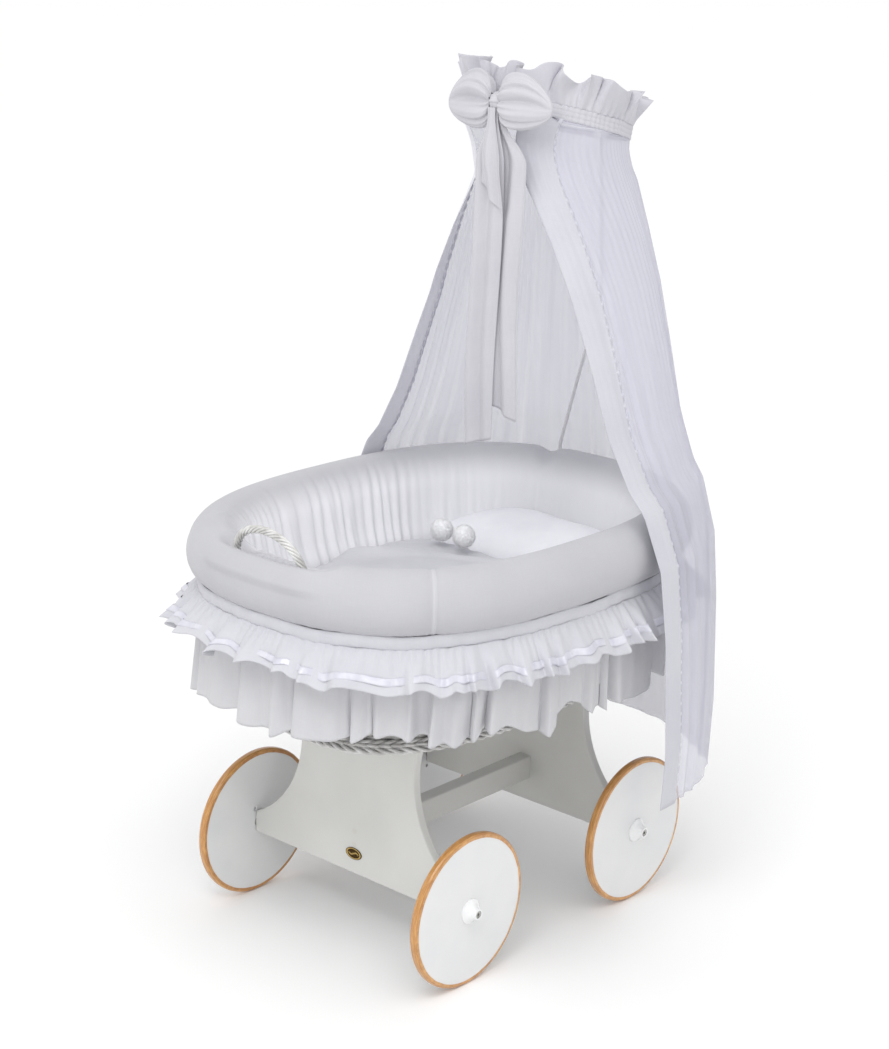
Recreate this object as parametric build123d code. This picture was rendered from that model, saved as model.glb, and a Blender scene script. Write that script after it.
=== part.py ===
"""Wheeled wicker bassinet with linen and a canopy.

+Z is up, +X is the right-hand side seen from the foot end, +Y points to the head end.
The origin lies on the floor under the middle of the object. Sizes are in millimetres.
"""
from build123d import *
from math import cos, pi, radians, sin, sqrt
import os

# ---- wheels and axles
WHEEL_R = 140.0
WHEEL_T = 15.0
WHEEL_EDGE = 5.0            # rounding of the varnished edge
WHEELBASE = 476.0
HUB_R = 22.5
HUB_H = 20.0
HUB_TIP_R = 10.0
BUSH_R = 7.0                # outside of the plastic bush pressed into wheel and hub
AXLE_R = 4.0
AXLE_GAP = 0.05             # running clearance of the axle screw in its bush
AXLE_HEAD_R = 6.5
AXLE_HEAD_H = 4.0
AXLE_BITE = 55.0            # how far the axle screw reaches into the panel foot
WASHER_R = 11.0
WASHER_T = 1.6
WHEEL_PLAY = 0.4
DIMPLE_R = 4.0              # blind hole in the inner face of each wheel
DIMPLE_DEPTH = 6.0
DIMPLE_OFFSET = 28.0

# ---- stand
PANEL_T = 18.0
PANEL_FOOT_X = 251.0        # half width across the feet
PANEL_WAIST_X = 137.0       # half width at the waist
PANEL_WAIST_Z = 348.0
PANEL_BOTTOM_Z = 122.0
PANEL_FOOT_TOP_Z = 163.0
PANEL_TOP_Z = 420.0
PANEL_ROUND = 3.0
RAIL_W = 30.0
RAIL_H = 47.0
RAIL_BOTTOM_Z = 168.0
SCREW_R = 3.0
SCREW_LENGTH = 60.0
SCREW_PITCH = 26.0
PLUG_R = 5.5
PLUG_DEPTH = 4.0
BADGE_HALF = (19.0, 11.0)
BADGE_T = 1.5
BADGE_Z = 161.0

# ---- wicker basket
OVAL_POWER = 2.6            # 2 is an ellipse, larger is squarer
RIM = (435.0, 310.0)        # half length and half width along the rim
FOOT = (345.0, 205.0)       # the same where the wall starts
WALL_T = 8.0
WALL_BOTTOM_Z = 440.0
WALL_TOP_Z = 700.0
BASE_T = 12.0
FOOT_BORDER_W = 16.0
RIM_ROPE_R = 7.0
HANDLE_R = 6.5
HANDLE_HALF = 83.0
HANDLE_APEX_Z = 812.0
HANDLE_LEAN = 26.0
BATTEN = (180.0, 16.0, 14.0)

# ---- linen
FIT = 0.4                   # gap between soft pieces and what they lie against
ROLL_Z = 719.0
ROLL_HALF = (48.0, 57.0)    # half width and half height of the padded roll
ROLL_GROOVE = (-14.0, 18.0) # the slit from below that takes the rim
ROLL_GROOVE_Z = 728.0
LINING_T = 12.0
LINING_BOTTOM_Z = 540.0
LINING_TOP_Z = 662.0
BAND_Z = (643.0, 659.0)
BAND_OFFSET = 23.0
CLOTH_T = 3.0
RUFFLE_Z = (590.0, 656.0)
RUFFLE_OFFSET = (80.0, 28.0)
RIBBON_Z = (606.0, 618.0)
SKIRT_Z = (460.0, 656.0)
SKIRT_OFFSET = 18.5
MATTRESS_HALF = (322.0, 186.0)
MATTRESS_T = 100.0
DUVET_TOP_Z = 665.0
DUVET_HEAD_Y = 130.0
PILLOW_TOP_Z = 694.0
POMPOM_R = 21.5
POMPOM_XY = (-80.0, 77.0)
POMPOM_STEP = 54.0

# ---- canopy
ROD_R = 3.0
ROD_X = -96.0
ROD_OFFSET = 11.0           # outside the rim line
ROD_BOTTOM_Z = 566.0
ROD_STRAIGHT_Z = 785.0      # the rod leans above this height
ROD_BULGE = (-18.0, 442.0, 1100.0)
ROD_BEND_R = 120.0
SOCKET_R = 5.5
SOCKET_Z = (560.0, 692.0)
SOCKET_BLOCK_W = 11.0
SOCKET_BLOCK_H = 100.0
SOCKET_BOLT_Z = (582.0, 640.0)
BOLT_R = 2.0
BOLT_HEAD_R = 4.5
BOLT_HEAD_H = 2.5
RING_HALF = (176.0, 126.0)
RING_WIRE_R = 2.5
RING_Y = 232.0              # from the basket's middle
RING_Z = 1440.0
RING_TILT = 12.9
CONNECTOR = (16.0, 22.0, 18.0)
CROWN_BAND_H = 22.0
CROWN_RUFFLE_H = 78.0
CROWN_FLARE = 34.0
CURTAIN_OFFSET = 100.0      # outside the rim line
CURTAIN_BREAK_Z = 800.0     # the cone meets the straight part here
CURTAIN_HEM_Z = 238.0
OPENING_TOP_Y = 85.0        # front edge of the curtain at the crown
OPENING_Y = 160.0           # and below the break
BORDER_W = 65.0
BOW_KNOT = (18.0, 17.0, 19.0)
BOW_LOOP = (48.0, 20.0, 50.0)
BOW_X = 46.0
TAIL_W = 58.0
TAIL_NECK_W = 24.0
TAIL_BOTTOM_Z = (885.0, 945.0)

# The whole object is centred on the origin: the ruffle reaches out at the foot end, the
# curtain at the head end.
RUFFLE_REACH = RUFFLE_OFFSET[0] + CLOTH_T
CURTAIN_REACH = CURTAIN_OFFSET + CLOTH_T
BASKET_Y = (RUFFLE_REACH - CURTAIN_REACH) / 2
STAND_Y = BASKET_Y + 24.0

os.makedirs("parts", exist_ok=True)


def save(name, shape):
    """Write one named piece."""
    export_step(shape, f"parts/{name}.step")


# ------------------------------------------------------------------ shapes used throughout
def oval(half, z):
    """Flat superellipse face: half = (half length along Y, half width along X)."""
    def at(angle):
        c, s = cos(angle), sin(angle)
        x = half[1] * abs(c) ** (2 / OVAL_POWER) * (1 if c > 0 else -1)
        y = half[0] * abs(s) ** (2 / OVAL_POWER) * (1 if s > 0 else -1)
        return (x, y, z)
    points = [at(2 * pi * (i + 0.5) / 32) for i in range(32)]
    return make_face(Spline(*points, periodic=True))


def grown(half, offset):
    """The same oval, wider all round by offset."""
    return (half[0] + offset, half[1] + offset)


def oval_y(half, x):
    """Y of the oval's head-end edge at a given X."""
    return half[0] * (1 - (abs(x) / half[1]) ** OVAL_POWER) ** (1 / OVAL_POWER)


def wall_half(z, offset=0.0):
    """Outer oval of the flared wicker wall at height z."""
    t = (z - WALL_BOTTOM_Z) / (WALL_TOP_Z - WALL_BOTTOM_Z)
    top = grown(RIM, -4.0)
    return tuple(f + (r - f) * t + offset for f, r in zip(FOOT, top))


def tier(levels):
    """Solid through ovals [(half, z), ...] with straight sides between them."""
    return loft([oval(half, z) for half, z in levels], ruled=True)


def oval_ring(levels, inner_levels):
    """Closed ring between an outer and an inner tier."""
    return tier(levels) - tier(inner_levels)


def rope_ring(half, z, radial, height, sides=12):
    """Ring of rounded section along an oval: radial and height are half sizes."""
    angles = [-pi / 2 + pi / sides + i * 2 * pi / sides for i in range(sides // 2)]
    rise = [height * sin(a) / cos(pi / sides) for a in angles]
    reach = [radial * cos(a) for a in angles]
    outer = [(grown(half, r), z + h) for r, h in zip(reach, rise)]
    inner = [(grown(half, -r), z + h) for r, h in zip(reach, rise)]
    return oval_ring(outer, inner)


def rod_along_x(radius, start, end):
    """Cylinder from (start, 0, 0) to (end, 0, 0)."""
    return Pos((start + end) / 2, 0, 0) * Rot(0, 90, 0) * Cylinder(radius, abs(end - start))


def rod_along_y(radius, start, end):
    """Cylinder from (0, start, 0) to (0, end, 0)."""
    return Pos(0, (start + end) / 2, 0) * Rot(90, 0, 0) * Cylinder(radius, abs(end - start))


# ------------------------------------------------------------------ stand
def rail_screw_heights():
    middle = RAIL_BOTTOM_Z + RAIL_H / 2
    return (middle - SCREW_PITCH / 2, middle + SCREW_PITCH / 2)


PANEL_INNER_Y = WHEELBASE / 2 - PANEL_T / 2


def end_panel(side):
    """Hourglass board: one arc on each flank, running from the foot over the waist to the top."""
    run = PANEL_FOOT_X - PANEL_WAIST_X
    rise = PANEL_WAIST_Z - PANEL_FOOT_TOP_Z
    arc_r = (run ** 2 + rise ** 2) / (2 * run)
    top_x = PANEL_WAIST_X + arc_r - sqrt(arc_r ** 2 - (PANEL_TOP_Z - PANEL_WAIST_Z) ** 2)
    foot_low = (PANEL_FOOT_X, PANEL_BOTTOM_Z)
    foot_high = (PANEL_FOOT_X, PANEL_FOOT_TOP_Z)
    waist = (PANEL_WAIST_X, PANEL_WAIST_Z)
    top = (top_x, PANEL_TOP_Z)
    right = [Line((0, PANEL_BOTTOM_Z), foot_low), Line(foot_low, foot_high),
             ThreePointArc(foot_high, waist, top), Line(top, (0, PANEL_TOP_Z))]
    outline = right + [mirror(edge, about=Plane.YZ) for edge in right]
    face = Plane.XZ * make_face(outline)
    board = Pos(0, PANEL_T / 2, 0) * extrude(face, PANEL_T)
    long_edges = [e for e in board.edges() if abs(abs(e.center().Y) - PANEL_T / 2) < 0.01
                  and abs(abs(e.center().X) - PANEL_FOOT_X) > 1]
    board = fillet(long_edges, PANEL_ROUND)
    for sign in (-1, 1):
        pilot = rod_along_x(AXLE_R, sign * (PANEL_FOOT_X - AXLE_BITE), sign * (PANEL_FOOT_X + 1))
        board -= Pos(0, 0, WHEEL_R) * pilot
    outer = side * PANEL_T / 2
    for z in rail_screw_heights():
        board -= Pos(0, 0, z) * rod_along_y(SCREW_R, -PANEL_T, PANEL_T)
        board -= Pos(0, 0, z) * rod_along_y(PLUG_R, outer - side * PLUG_DEPTH, outer + side)
    return Pos(0, STAND_Y + side * WHEELBASE / 2, 0) * board


def rail_screw(side):
    """Headless screw from under its plug, through the panel and into the end of the rail."""
    start = side * (WHEELBASE / 2 + PANEL_T / 2 - PLUG_DEPTH)
    return rod_along_y(SCREW_R, start, start - side * SCREW_LENGTH)


def rail():
    body = Box(RAIL_W, 2 * PANEL_INNER_Y, RAIL_H, align=(Align.CENTER, Align.CENTER, Align.MIN))
    body = Pos(0, 0, RAIL_BOTTOM_Z) * fillet(body.edges().filter_by(Axis.Y), PANEL_ROUND)
    for side in (-1, 1):
        for z in rail_screw_heights():
            body -= Pos(0, 0, z) * rail_screw(side)
    return Pos(0, STAND_Y, 0) * body


for name, side in (("foot_panel", -1), ("head_panel", 1)):
    save(name, end_panel(side))
save("rail", rail())

screws, plugs = [], []
for side in (-1, 1):
    face_y = side * (WHEELBASE / 2 + PANEL_T / 2)
    for z in rail_screw_heights():
        screws.append(Pos(0, STAND_Y, z) * rail_screw(side))
        plug = rod_along_y(PLUG_R, face_y - side * PLUG_DEPTH, face_y)
        plugs.append(Pos(0, STAND_Y, z) * plug)
save("rail_screws", Compound(screws))
save("screw_plugs", Compound(plugs))

badge = Plane.XZ * extrude(Ellipse(*BADGE_HALF), BADGE_T)
save("badge", Pos(0, STAND_Y - WHEELBASE / 2 - PANEL_T / 2, BADGE_Z) * badge)

# ------------------------------------------------------------------ wheels
WHEEL_INNER_X = PANEL_FOOT_X + WASHER_T + WHEEL_PLAY
WHEEL_OUTER_X = WHEEL_INNER_X + WHEEL_T
HUB_TIP_X = WHEEL_OUTER_X + HUB_H
HEAD_SEAT_X = HUB_TIP_X - AXLE_HEAD_H - 1.0
DIMPLE_ANGLES = {("foot", "left"): 112, ("foot", "right"): 250,
                 ("head", "left"): 258, ("head", "right"): 40}


def wheel(dimple_angle):
    """Solid disc with a rounded edge, a bush bore and one blind hole in its inner face."""
    disc = rod_along_x(WHEEL_R, WHEEL_INNER_X, WHEEL_OUTER_X)
    disc = fillet(disc.edges().filter_by(GeomType.CIRCLE), WHEEL_EDGE)
    disc -= rod_along_x(BUSH_R, WHEEL_INNER_X - 1, WHEEL_OUTER_X + 1)
    dimple = rod_along_x(DIMPLE_R, WHEEL_INNER_X - 1, WHEEL_INNER_X + DIMPLE_DEPTH)
    angle = radians(dimple_angle)
    disc -= Pos(0, DIMPLE_OFFSET * cos(angle), DIMPLE_OFFSET * sin(angle)) * dimple
    return disc


def hub_cap():
    """Turned cap: a bell profile about the axle, bored for the bush and the screw head."""
    profile = Polyline((WHEEL_OUTER_X, 0), (WHEEL_OUTER_X, HUB_R), (WHEEL_OUTER_X + 3, HUB_R))
    flank = ThreePointArc((WHEEL_OUTER_X + 3, HUB_R), (WHEEL_OUTER_X + 9, HUB_TIP_R + 5.5),
                          (HUB_TIP_X, HUB_TIP_R))
    close = Polyline((HUB_TIP_X, HUB_TIP_R), (HUB_TIP_X, 0), (WHEEL_OUTER_X, 0))
    cap = revolve(make_face([profile, flank, close]), Axis.X)
    cap -= rod_along_x(BUSH_R, WHEEL_OUTER_X - 1, HEAD_SEAT_X - 0.5)
    return cap - rod_along_x(AXLE_HEAD_R + 0.5, HEAD_SEAT_X - 0.5, HUB_TIP_X + 1)


def bush():
    sleeve = rod_along_x(BUSH_R, WHEEL_INNER_X, HEAD_SEAT_X - 0.5)
    return sleeve - rod_along_x(AXLE_R + AXLE_GAP, WHEEL_INNER_X - 1, HEAD_SEAT_X)


axle = rod_along_x(AXLE_R, PANEL_FOOT_X - AXLE_BITE, HEAD_SEAT_X)
axle += rod_along_x(AXLE_HEAD_R, HEAD_SEAT_X, HEAD_SEAT_X + AXLE_HEAD_H)
axle -= Pos(HEAD_SEAT_X + AXLE_HEAD_H, 0, 0) * Rot(0, 90, 0) * extrude(
    RegularPolygon(2.9, 6), -2.5)
washer = rod_along_x(WASHER_R, PANEL_FOOT_X, PANEL_FOOT_X + WASHER_T)
washer -= rod_along_x(AXLE_R + 0.2, PANEL_FOOT_X - 1, PANEL_FOOT_X + WASHER_T + 1)

axles, washers = [], []
for end, end_sign in (("foot", -1), ("head", 1)):
    for hand, turn in (("right", 0), ("left", 180)):
        place = Pos(0, STAND_Y + end_sign * WHEELBASE / 2, WHEEL_R) * Rot(0, 0, turn)
        mirrored = {0: DIMPLE_ANGLES[end, hand], 180: 180 - DIMPLE_ANGLES[end, hand]}[turn]
        save(f"wheel_{end}_{hand}", place * wheel(mirrored))
        save(f"hub_cap_{end}_{hand}", place * hub_cap())
        save(f"wheel_bush_{end}_{hand}", place * bush())
        axles.append(place * axle)
        washers.append(place * washer)
save("axle_screws", Compound(axles))
save("axle_washers", Compound(washers))

# ------------------------------------------------------------------ wicker basket
AT_BASKET = Pos(0, BASKET_Y, 0)
BASE_HALF = grown(FOOT, -FOOT_BORDER_W + 6)

base = tier([(BASE_HALF, PANEL_TOP_Z), (BASE_HALF, PANEL_TOP_Z + BASE_T)])
save("wicker_base", AT_BASKET * base)

border_out = grown(BASE_HALF, FOOT_BORDER_W)
border_top = WALL_BOTTOM_Z - FIT
foot_border = oval_ring(
    [(grown(border_out, -4), PANEL_TOP_Z), (border_out, PANEL_TOP_Z + 5),
     (border_out, border_top - 5), (grown(border_out, -4), border_top)],
    [(grown(BASE_HALF, FIT), PANEL_TOP_Z), (grown(BASE_HALF, FIT), border_top)])
save("wicker_foot_border", AT_BASKET * foot_border)

# The socket for the canopy rod hangs on the outside of the wall, just below the rim.
ROD_Y = oval_y(RIM, ROD_X) + ROD_OFFSET
wall_solid = tier([(wall_half(WALL_BOTTOM_Z), WALL_BOTTOM_Z), (wall_half(WALL_TOP_Z), WALL_TOP_Z)])
wall = wall_solid - tier([(wall_half(WALL_BOTTOM_Z, -WALL_T), WALL_BOTTOM_Z),
                          (wall_half(WALL_TOP_Z, -WALL_T), WALL_TOP_Z)])
bolts = []
for z in SOCKET_BOLT_Z:
    wall_y = oval_y(wall_half(z), ROD_X)
    seat = wall_y - WALL_T * 0.35
    shank = rod_along_y(BOLT_R, seat, ROD_Y - SOCKET_R)
    bolts.append(Pos(ROD_X, 0, z) * (shank + rod_along_y(BOLT_HEAD_R, seat - BOLT_HEAD_H, seat)))
    wall -= Pos(ROD_X, 0, z) * rod_along_y(BOLT_HEAD_R + 0.5, seat - 3 * WALL_T, seat)
for bolt in bolts:
    wall -= bolt
save("wicker_wall", AT_BASKET * wall)

rope = rope_ring(RIM, WALL_TOP_Z + RIM_ROPE_R + FIT, RIM_ROPE_R, RIM_ROPE_R, sides=8)
save("wicker_rim", AT_BASKET * rope)

handle_y = -oval_y(RIM, HANDLE_HALF)
hoop_path = ThreePointArc((-HANDLE_HALF, handle_y, WALL_TOP_Z + RIM_ROPE_R),
                          (0, handle_y - HANDLE_LEAN, HANDLE_APEX_Z),
                          (HANDLE_HALF, handle_y, WALL_TOP_Z + RIM_ROPE_R))
hoop = sweep(Plane(hoop_path @ 0, z_dir=hoop_path % 0) * Circle(HANDLE_R), path=hoop_path)
under_rope = tier([(grown(RIM, 60), 600), (grown(RIM, 60), WALL_TOP_Z + 2 * RIM_ROPE_R + FIT)])
save("handle", AT_BASKET * (hoop - under_rope))

battens = []
for side in (-1, 1):
    y = STAND_Y + side * (PANEL_INNER_Y - 0.5 - BATTEN[1] / 2)
    battens.append(Pos(0, y, PANEL_TOP_Z - BATTEN[2] / 2) * Box(*BATTEN))
save("base_battens", Compound(battens))

block_reach = ROD_Y - oval_y(wall_half(SOCKET_Z[0]), ROD_X) + 20
block = Box(SOCKET_BLOCK_W, block_reach, SOCKET_BLOCK_H, align=(Align.CENTER, Align.MAX, Align.MIN))
tube = Cylinder(SOCKET_R, SOCKET_Z[1] - SOCKET_Z[0], align=(Align.CENTER, Align.CENTER, Align.MIN))
socket = Pos(ROD_X, ROD_Y, SOCKET_Z[0]) * (block + tube)
socket -= tier([(wall_half(z, FIT), z) for z in (SOCKET_Z[0] - 20, WALL_TOP_Z)])
rod_hole = Cylinder(ROD_R + 0.05, 400, align=(Align.CENTER, Align.CENTER, Align.MIN))
socket -= Pos(ROD_X, ROD_Y, ROD_BOTTOM_Z) * rod_hole
for bolt in bolts:
    socket -= bolt
save("rod_socket", AT_BASKET * socket)
save("socket_bolts", AT_BASKET * Compound(bolts))

# ------------------------------------------------------------------ linen on the basket
roll = rope_ring(RIM, ROLL_Z, *ROLL_HALF)
groove_levels = (ROLL_Z - ROLL_HALF[1] - 5, ROLL_GROOVE_Z)
roll -= oval_ring([(grown(RIM, ROLL_GROOVE[1]), z) for z in groove_levels],
                  [(grown(RIM, ROLL_GROOVE[0]), z) for z in groove_levels])
slot_w = 2 * (HANDLE_HALF + HANDLE_R + 6)
slot = Box(slot_w, 46, 100, align=(Align.CENTER, Align.CENTER, Align.MIN))
roll -= Pos(0, handle_y - 9, ROLL_GROOVE_Z - 10) * slot
roll -= Pos(ROD_X, ROD_Y, ROLL_Z - 20) * Cylinder(
    ROD_R + 1.5, 200, align=(Align.CENTER, Align.CENTER, Align.MIN))
save("bumper_roll", AT_BASKET * roll)

lining_out = -WALL_T - FIT - 1.5
lining = oval_ring(
    [(wall_half(z, lining_out), z) for z in (LINING_BOTTOM_Z, LINING_TOP_Z)],
    [(wall_half(z, lining_out - LINING_T), z) for z in (LINING_BOTTOM_Z, LINING_TOP_Z)])
save("inner_lining", AT_BASKET * lining)

band = oval_ring([(grown(RIM, BAND_OFFSET + CLOTH_T), z) for z in BAND_Z],
                 [(grown(RIM, BAND_OFFSET), z) for z in BAND_Z])
save("binding_band", AT_BASKET * band)


def ruffle_offset(z):
    """How far the sloping ruffle stands outside the rim line at height z."""
    t = (z - RUFFLE_Z[0]) / (RUFFLE_Z[1] - RUFFLE_Z[0])
    return RUFFLE_OFFSET[0] + (RUFFLE_OFFSET[1] - RUFFLE_OFFSET[0]) * t


ruffle = oval_ring([(grown(RIM, ruffle_offset(z) + CLOTH_T), z) for z in RUFFLE_Z],
                   [(grown(RIM, ruffle_offset(z)), z) for z in RUFFLE_Z])
save("ruffle", AT_BASKET * ruffle)

lift = CLOTH_T + FIT
ribbon = oval_ring([(grown(RIM, ruffle_offset(z) + lift + 1.2), z) for z in RIBBON_Z],
                   [(grown(RIM, ruffle_offset(z) + lift), z) for z in RIBBON_Z])
save("ruffle_ribbon", AT_BASKET * ribbon)

skirt = oval_ring([(grown(RIM, SKIRT_OFFSET + CLOTH_T), z) for z in SKIRT_Z],
                  [(grown(RIM, SKIRT_OFFSET), z) for z in SKIRT_Z])
save("skirt", AT_BASKET * skirt)

mattress_bottom = PANEL_TOP_Z + BASE_T + FIT
mattress_top = mattress_bottom + MATTRESS_T
mattress = tier([(MATTRESS_HALF, mattress_bottom), (MATTRESS_HALF, mattress_top)])
save("mattress", AT_BASKET * mattress)

bedding_z = mattress_top + FIT
lining_face = lining_out - LINING_T - 4
bulge_z = bedding_z + 0.62 * (DUVET_TOP_Z - bedding_z)
bedding_low = wall_half(LINING_BOTTOM_Z - 5, lining_face)
duvet = tier([(bedding_low, bedding_z), (wall_half(LINING_BOTTOM_Z + 40, lining_face), bulge_z),
              (grown(MATTRESS_HALF, -20), DUVET_TOP_Z)])
foot_side = Pos(0, DUVET_HEAD_Y, 0) * Box(2000, 2000, 4000, align=(Align.CENTER, Align.MAX, Align.CENTER))
save("duvet", AT_BASKET * (duvet & foot_side))

pillow = tier([(bedding_low, bedding_z), (wall_half(LINING_BOTTOM_Z + 50, lining_face), bulge_z),
               (grown(MATTRESS_HALF, -5), PILLOW_TOP_Z)])
head_side = Pos(0, DUVET_HEAD_Y + 2, 0) * Box(
    2000, 2000, 4000, align=(Align.CENTER, Align.MIN, Align.CENTER))
save("pillow", AT_BASKET * (pillow & head_side))

pompoms = []
for i in range(2):
    place = Pos(POMPOM_XY[0] + i * POMPOM_STEP, POMPOM_XY[1], DUVET_TOP_Z + POMPOM_R + FIT)
    pompoms.append(place * Sphere(POMPOM_R))
save("pompoms", AT_BASKET * Compound(pompoms))

# ------------------------------------------------------------------ canopy
AT_RING = Pos(0, BASKET_Y + RING_Y, RING_Z) * Rot(-RING_TILT, 0, 0)


def crown(offset, z):
    """Ellipse of the crown in its own tilted plane."""
    return Pos(0, 0, z) * Ellipse(RING_HALF[1] + offset, RING_HALF[0] + offset)


def crown_shell(levels, thickness):
    """Thin ring through ellipses [(offset, z), ...] of the crown."""
    outer = loft([crown(offset + thickness, z) for offset, z in levels], ruled=True)
    return outer - loft([crown(offset, z) for offset, z in levels], ruled=True)


def ring_point(angle):
    """Point of the crown wire, angle in degrees from the head end."""
    return (RING_HALF[1] * sin(radians(angle)), RING_HALF[0] * cos(radians(angle)), 0)


# The wire's two ends meet inside the connector, so it is drawn open by a few degrees.
ring_path = Spline(*[ring_point(2 + 356 * i / 24) for i in range(25)])
ring = sweep(Plane(ring_path @ 0, z_dir=ring_path % 0) * Circle(RING_WIRE_R), path=ring_path)
connector = Box(*CONNECTOR)
connector = fillet(connector.edges().filter_by(Axis.Y), 3.0)
connector = AT_RING * Pos(0, RING_HALF[0] - 12, -4) * connector
save("canopy_ring", AT_RING * ring - connector)

ring_back = AT_RING * Pos(0, RING_HALF[0] - 12, -6)
rod_points = [(ROD_X, BASKET_Y + ROD_Y, ROD_BOTTOM_Z), (ROD_X, BASKET_Y + ROD_Y, ROD_STRAIGHT_Z),
              (ROD_BULGE[0], ROD_BULGE[1] + BASKET_Y, ROD_BULGE[2]), tuple(ring_back.position)]
rod_path = FilletPolyline(*rod_points, radius=ROD_BEND_R)
rod = sweep(Plane(rod_path @ 0, z_dir=rod_path % 0) * Circle(ROD_R), path=rod_path)
save("canopy_rod", rod - connector)
save("ring_connector", connector)

crown_gap = RING_WIRE_R + FIT
save("crown_band", AT_RING * crown_shell(
    [(crown_gap, -CROWN_BAND_H / 2), (crown_gap, CROWN_BAND_H / 2)], CLOTH_T))
ruffle_foot = CROWN_BAND_H / 2 + FIT
save("crown_ruffle", AT_RING * crown_shell(
    [(crown_gap, ruffle_foot), (crown_gap + CROWN_FLARE, ruffle_foot + CROWN_RUFFLE_H)], CLOTH_T))


def curtain_solid(offset):
    """Cone from the crown to the rim level, and straight walls from there to the hem."""
    top = AT_RING * crown(crown_gap + offset, -CROWN_BAND_H / 2 - FIT)
    skirt_half = grown(RIM, CURTAIN_OFFSET + offset)
    middle = AT_BASKET * oval(skirt_half, CURTAIN_BREAK_Z)
    straight = tier([(skirt_half, CURTAIN_HEM_Z), (skirt_half, CURTAIN_BREAK_Z)])
    return loft([middle, top], ruled=True) + AT_BASKET * straight


def behind_edge(shift):
    """Everything on the head side of the curtain's front edge, moved back by shift."""
    top_y = OPENING_TOP_Y + BASKET_Y + shift
    low_y = OPENING_Y + BASKET_Y + shift
    side = Polyline((top_y, 1700), (top_y, RING_Z), (low_y, CURTAIN_BREAK_Z), (low_y, 0),
                    (2000, 0), (2000, 1700), close=True)
    return extrude(Plane.YZ * make_face(side), 1000, both=True)


shell = curtain_solid(CLOTH_T) - curtain_solid(0)
curtain = shell & behind_edge(BORDER_W)
borders = (shell & behind_edge(0)) - behind_edge(BORDER_W)
save("curtain", curtain)
for hand, align in (("right", Align.MIN), ("left", Align.MAX)):
    half_space = Box(2000, 4000, 4000, align=(align, Align.CENTER, Align.CENTER))
    save(f"curtain_border_{hand}", borders & half_space)

# The bow is tied in front of the crown; its two tails hang straight down from the knot.
front = AT_RING * Pos(0, -RING_HALF[0] - crown_gap - CLOTH_T, 0)
knot_y = front.position.Y - BOW_KNOT[1] - FIT
knot_z = front.position.Z
AT_KNOT = Pos(BOW_X, knot_y, knot_z)
save("bow_knot", AT_KNOT * scale(Sphere(1), by=BOW_KNOT))
loops = []
for sign in (-1, 1):
    place = Pos(sign * (BOW_LOOP[0] + BOW_KNOT[0] + FIT), BOW_KNOT[1] - BOW_LOOP[1] - 2, 0)
    loops.append(place * scale(Sphere(1), by=BOW_LOOP))
save("bow_loops", AT_KNOT * Compound(loops))


def tail(shift, bottom, y):
    """Flat ribbon: a narrow neck between the loops, then full width, down to its end."""
    top = -BOW_KNOT[2] - FIT
    neck = -BOW_LOOP[2] - 6
    full = neck - 40
    half, thin = TAIL_W / 2, TAIL_NECK_W / 2
    outline = Polyline((-thin, top), (-thin, neck), (shift - half, full), (shift - half, bottom),
                       (shift + half, bottom), (shift + half, full), (thin, neck), (thin, top),
                       close=True)
    return Pos(0, y + CLOTH_T, 0) * extrude(Plane.XZ * make_face(outline), CLOTH_T)


tails = [tail(-6.0, TAIL_BOTTOM_Z[0] - knot_z, -6.0), tail(34.0, TAIL_BOTTOM_Z[1] - knot_z, 2.0)]
save("bow_tails", AT_KNOT * Compound(tails))
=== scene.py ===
"""A wheeled wicker bassinet, dressed in white cotton under a voile canopy, in metres.

It is put together in the order of its making: studio, stand, wheels, basket, padded
bumper, frills, bedding, canopy, bow.
"""
import bmesh
import bpy
import numpy as np
from mathutils import Matrix, Vector


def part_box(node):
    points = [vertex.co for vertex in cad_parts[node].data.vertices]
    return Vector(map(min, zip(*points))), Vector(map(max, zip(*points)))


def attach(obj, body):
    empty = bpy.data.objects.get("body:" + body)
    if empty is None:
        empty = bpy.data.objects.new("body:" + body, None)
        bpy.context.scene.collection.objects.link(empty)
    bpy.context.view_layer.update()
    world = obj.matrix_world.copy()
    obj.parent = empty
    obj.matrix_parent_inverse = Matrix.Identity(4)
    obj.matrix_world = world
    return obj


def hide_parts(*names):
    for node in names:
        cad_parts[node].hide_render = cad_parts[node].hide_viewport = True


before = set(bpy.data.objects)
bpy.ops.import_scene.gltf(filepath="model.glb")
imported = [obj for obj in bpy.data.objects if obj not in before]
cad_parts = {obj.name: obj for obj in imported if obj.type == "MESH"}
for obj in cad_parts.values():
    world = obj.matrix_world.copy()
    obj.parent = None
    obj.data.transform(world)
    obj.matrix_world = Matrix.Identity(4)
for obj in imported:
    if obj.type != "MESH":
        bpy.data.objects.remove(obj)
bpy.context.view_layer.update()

# ------------------------------------------------------------------ studio
# A white floor, a broad window light from the foot end, soft lamps beside the camera
# and over the foot, and an even white surround. The camera looks down on the foot right corner.
eye = Vector((2.48014, -2.88095, 1.87109))
azimuth, elevation, roll = np.radians((40.9055, 16.7338, 2.0688))
ahead = Vector((-np.sin(azimuth) * np.cos(elevation), np.cos(azimuth) * np.cos(elevation),
                -np.sin(elevation)))
level_right = ahead.cross(Vector((0, 0, 1))).normalized()
level_up = level_right.cross(ahead)
right = level_right * np.cos(roll) + level_up * np.sin(roll)
up = level_up * np.cos(roll) - level_right * np.sin(roll)
lens = bpy.data.cameras.new("camera")
lens.sensor_fit = "VERTICAL"
lens.sensor_height = 36.0
lens.lens = 76.035
camera = bpy.data.objects.new("camera", lens)
camera.matrix_world = Matrix((
    (right.x, up.x, -ahead.x, eye.x), (right.y, up.y, -ahead.y, eye.y),
    (right.z, up.z, -ahead.z, eye.z), (0, 0, 0, 1)))
scene = bpy.context.scene
scene.collection.objects.link(camera)
scene.camera = camera
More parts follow.
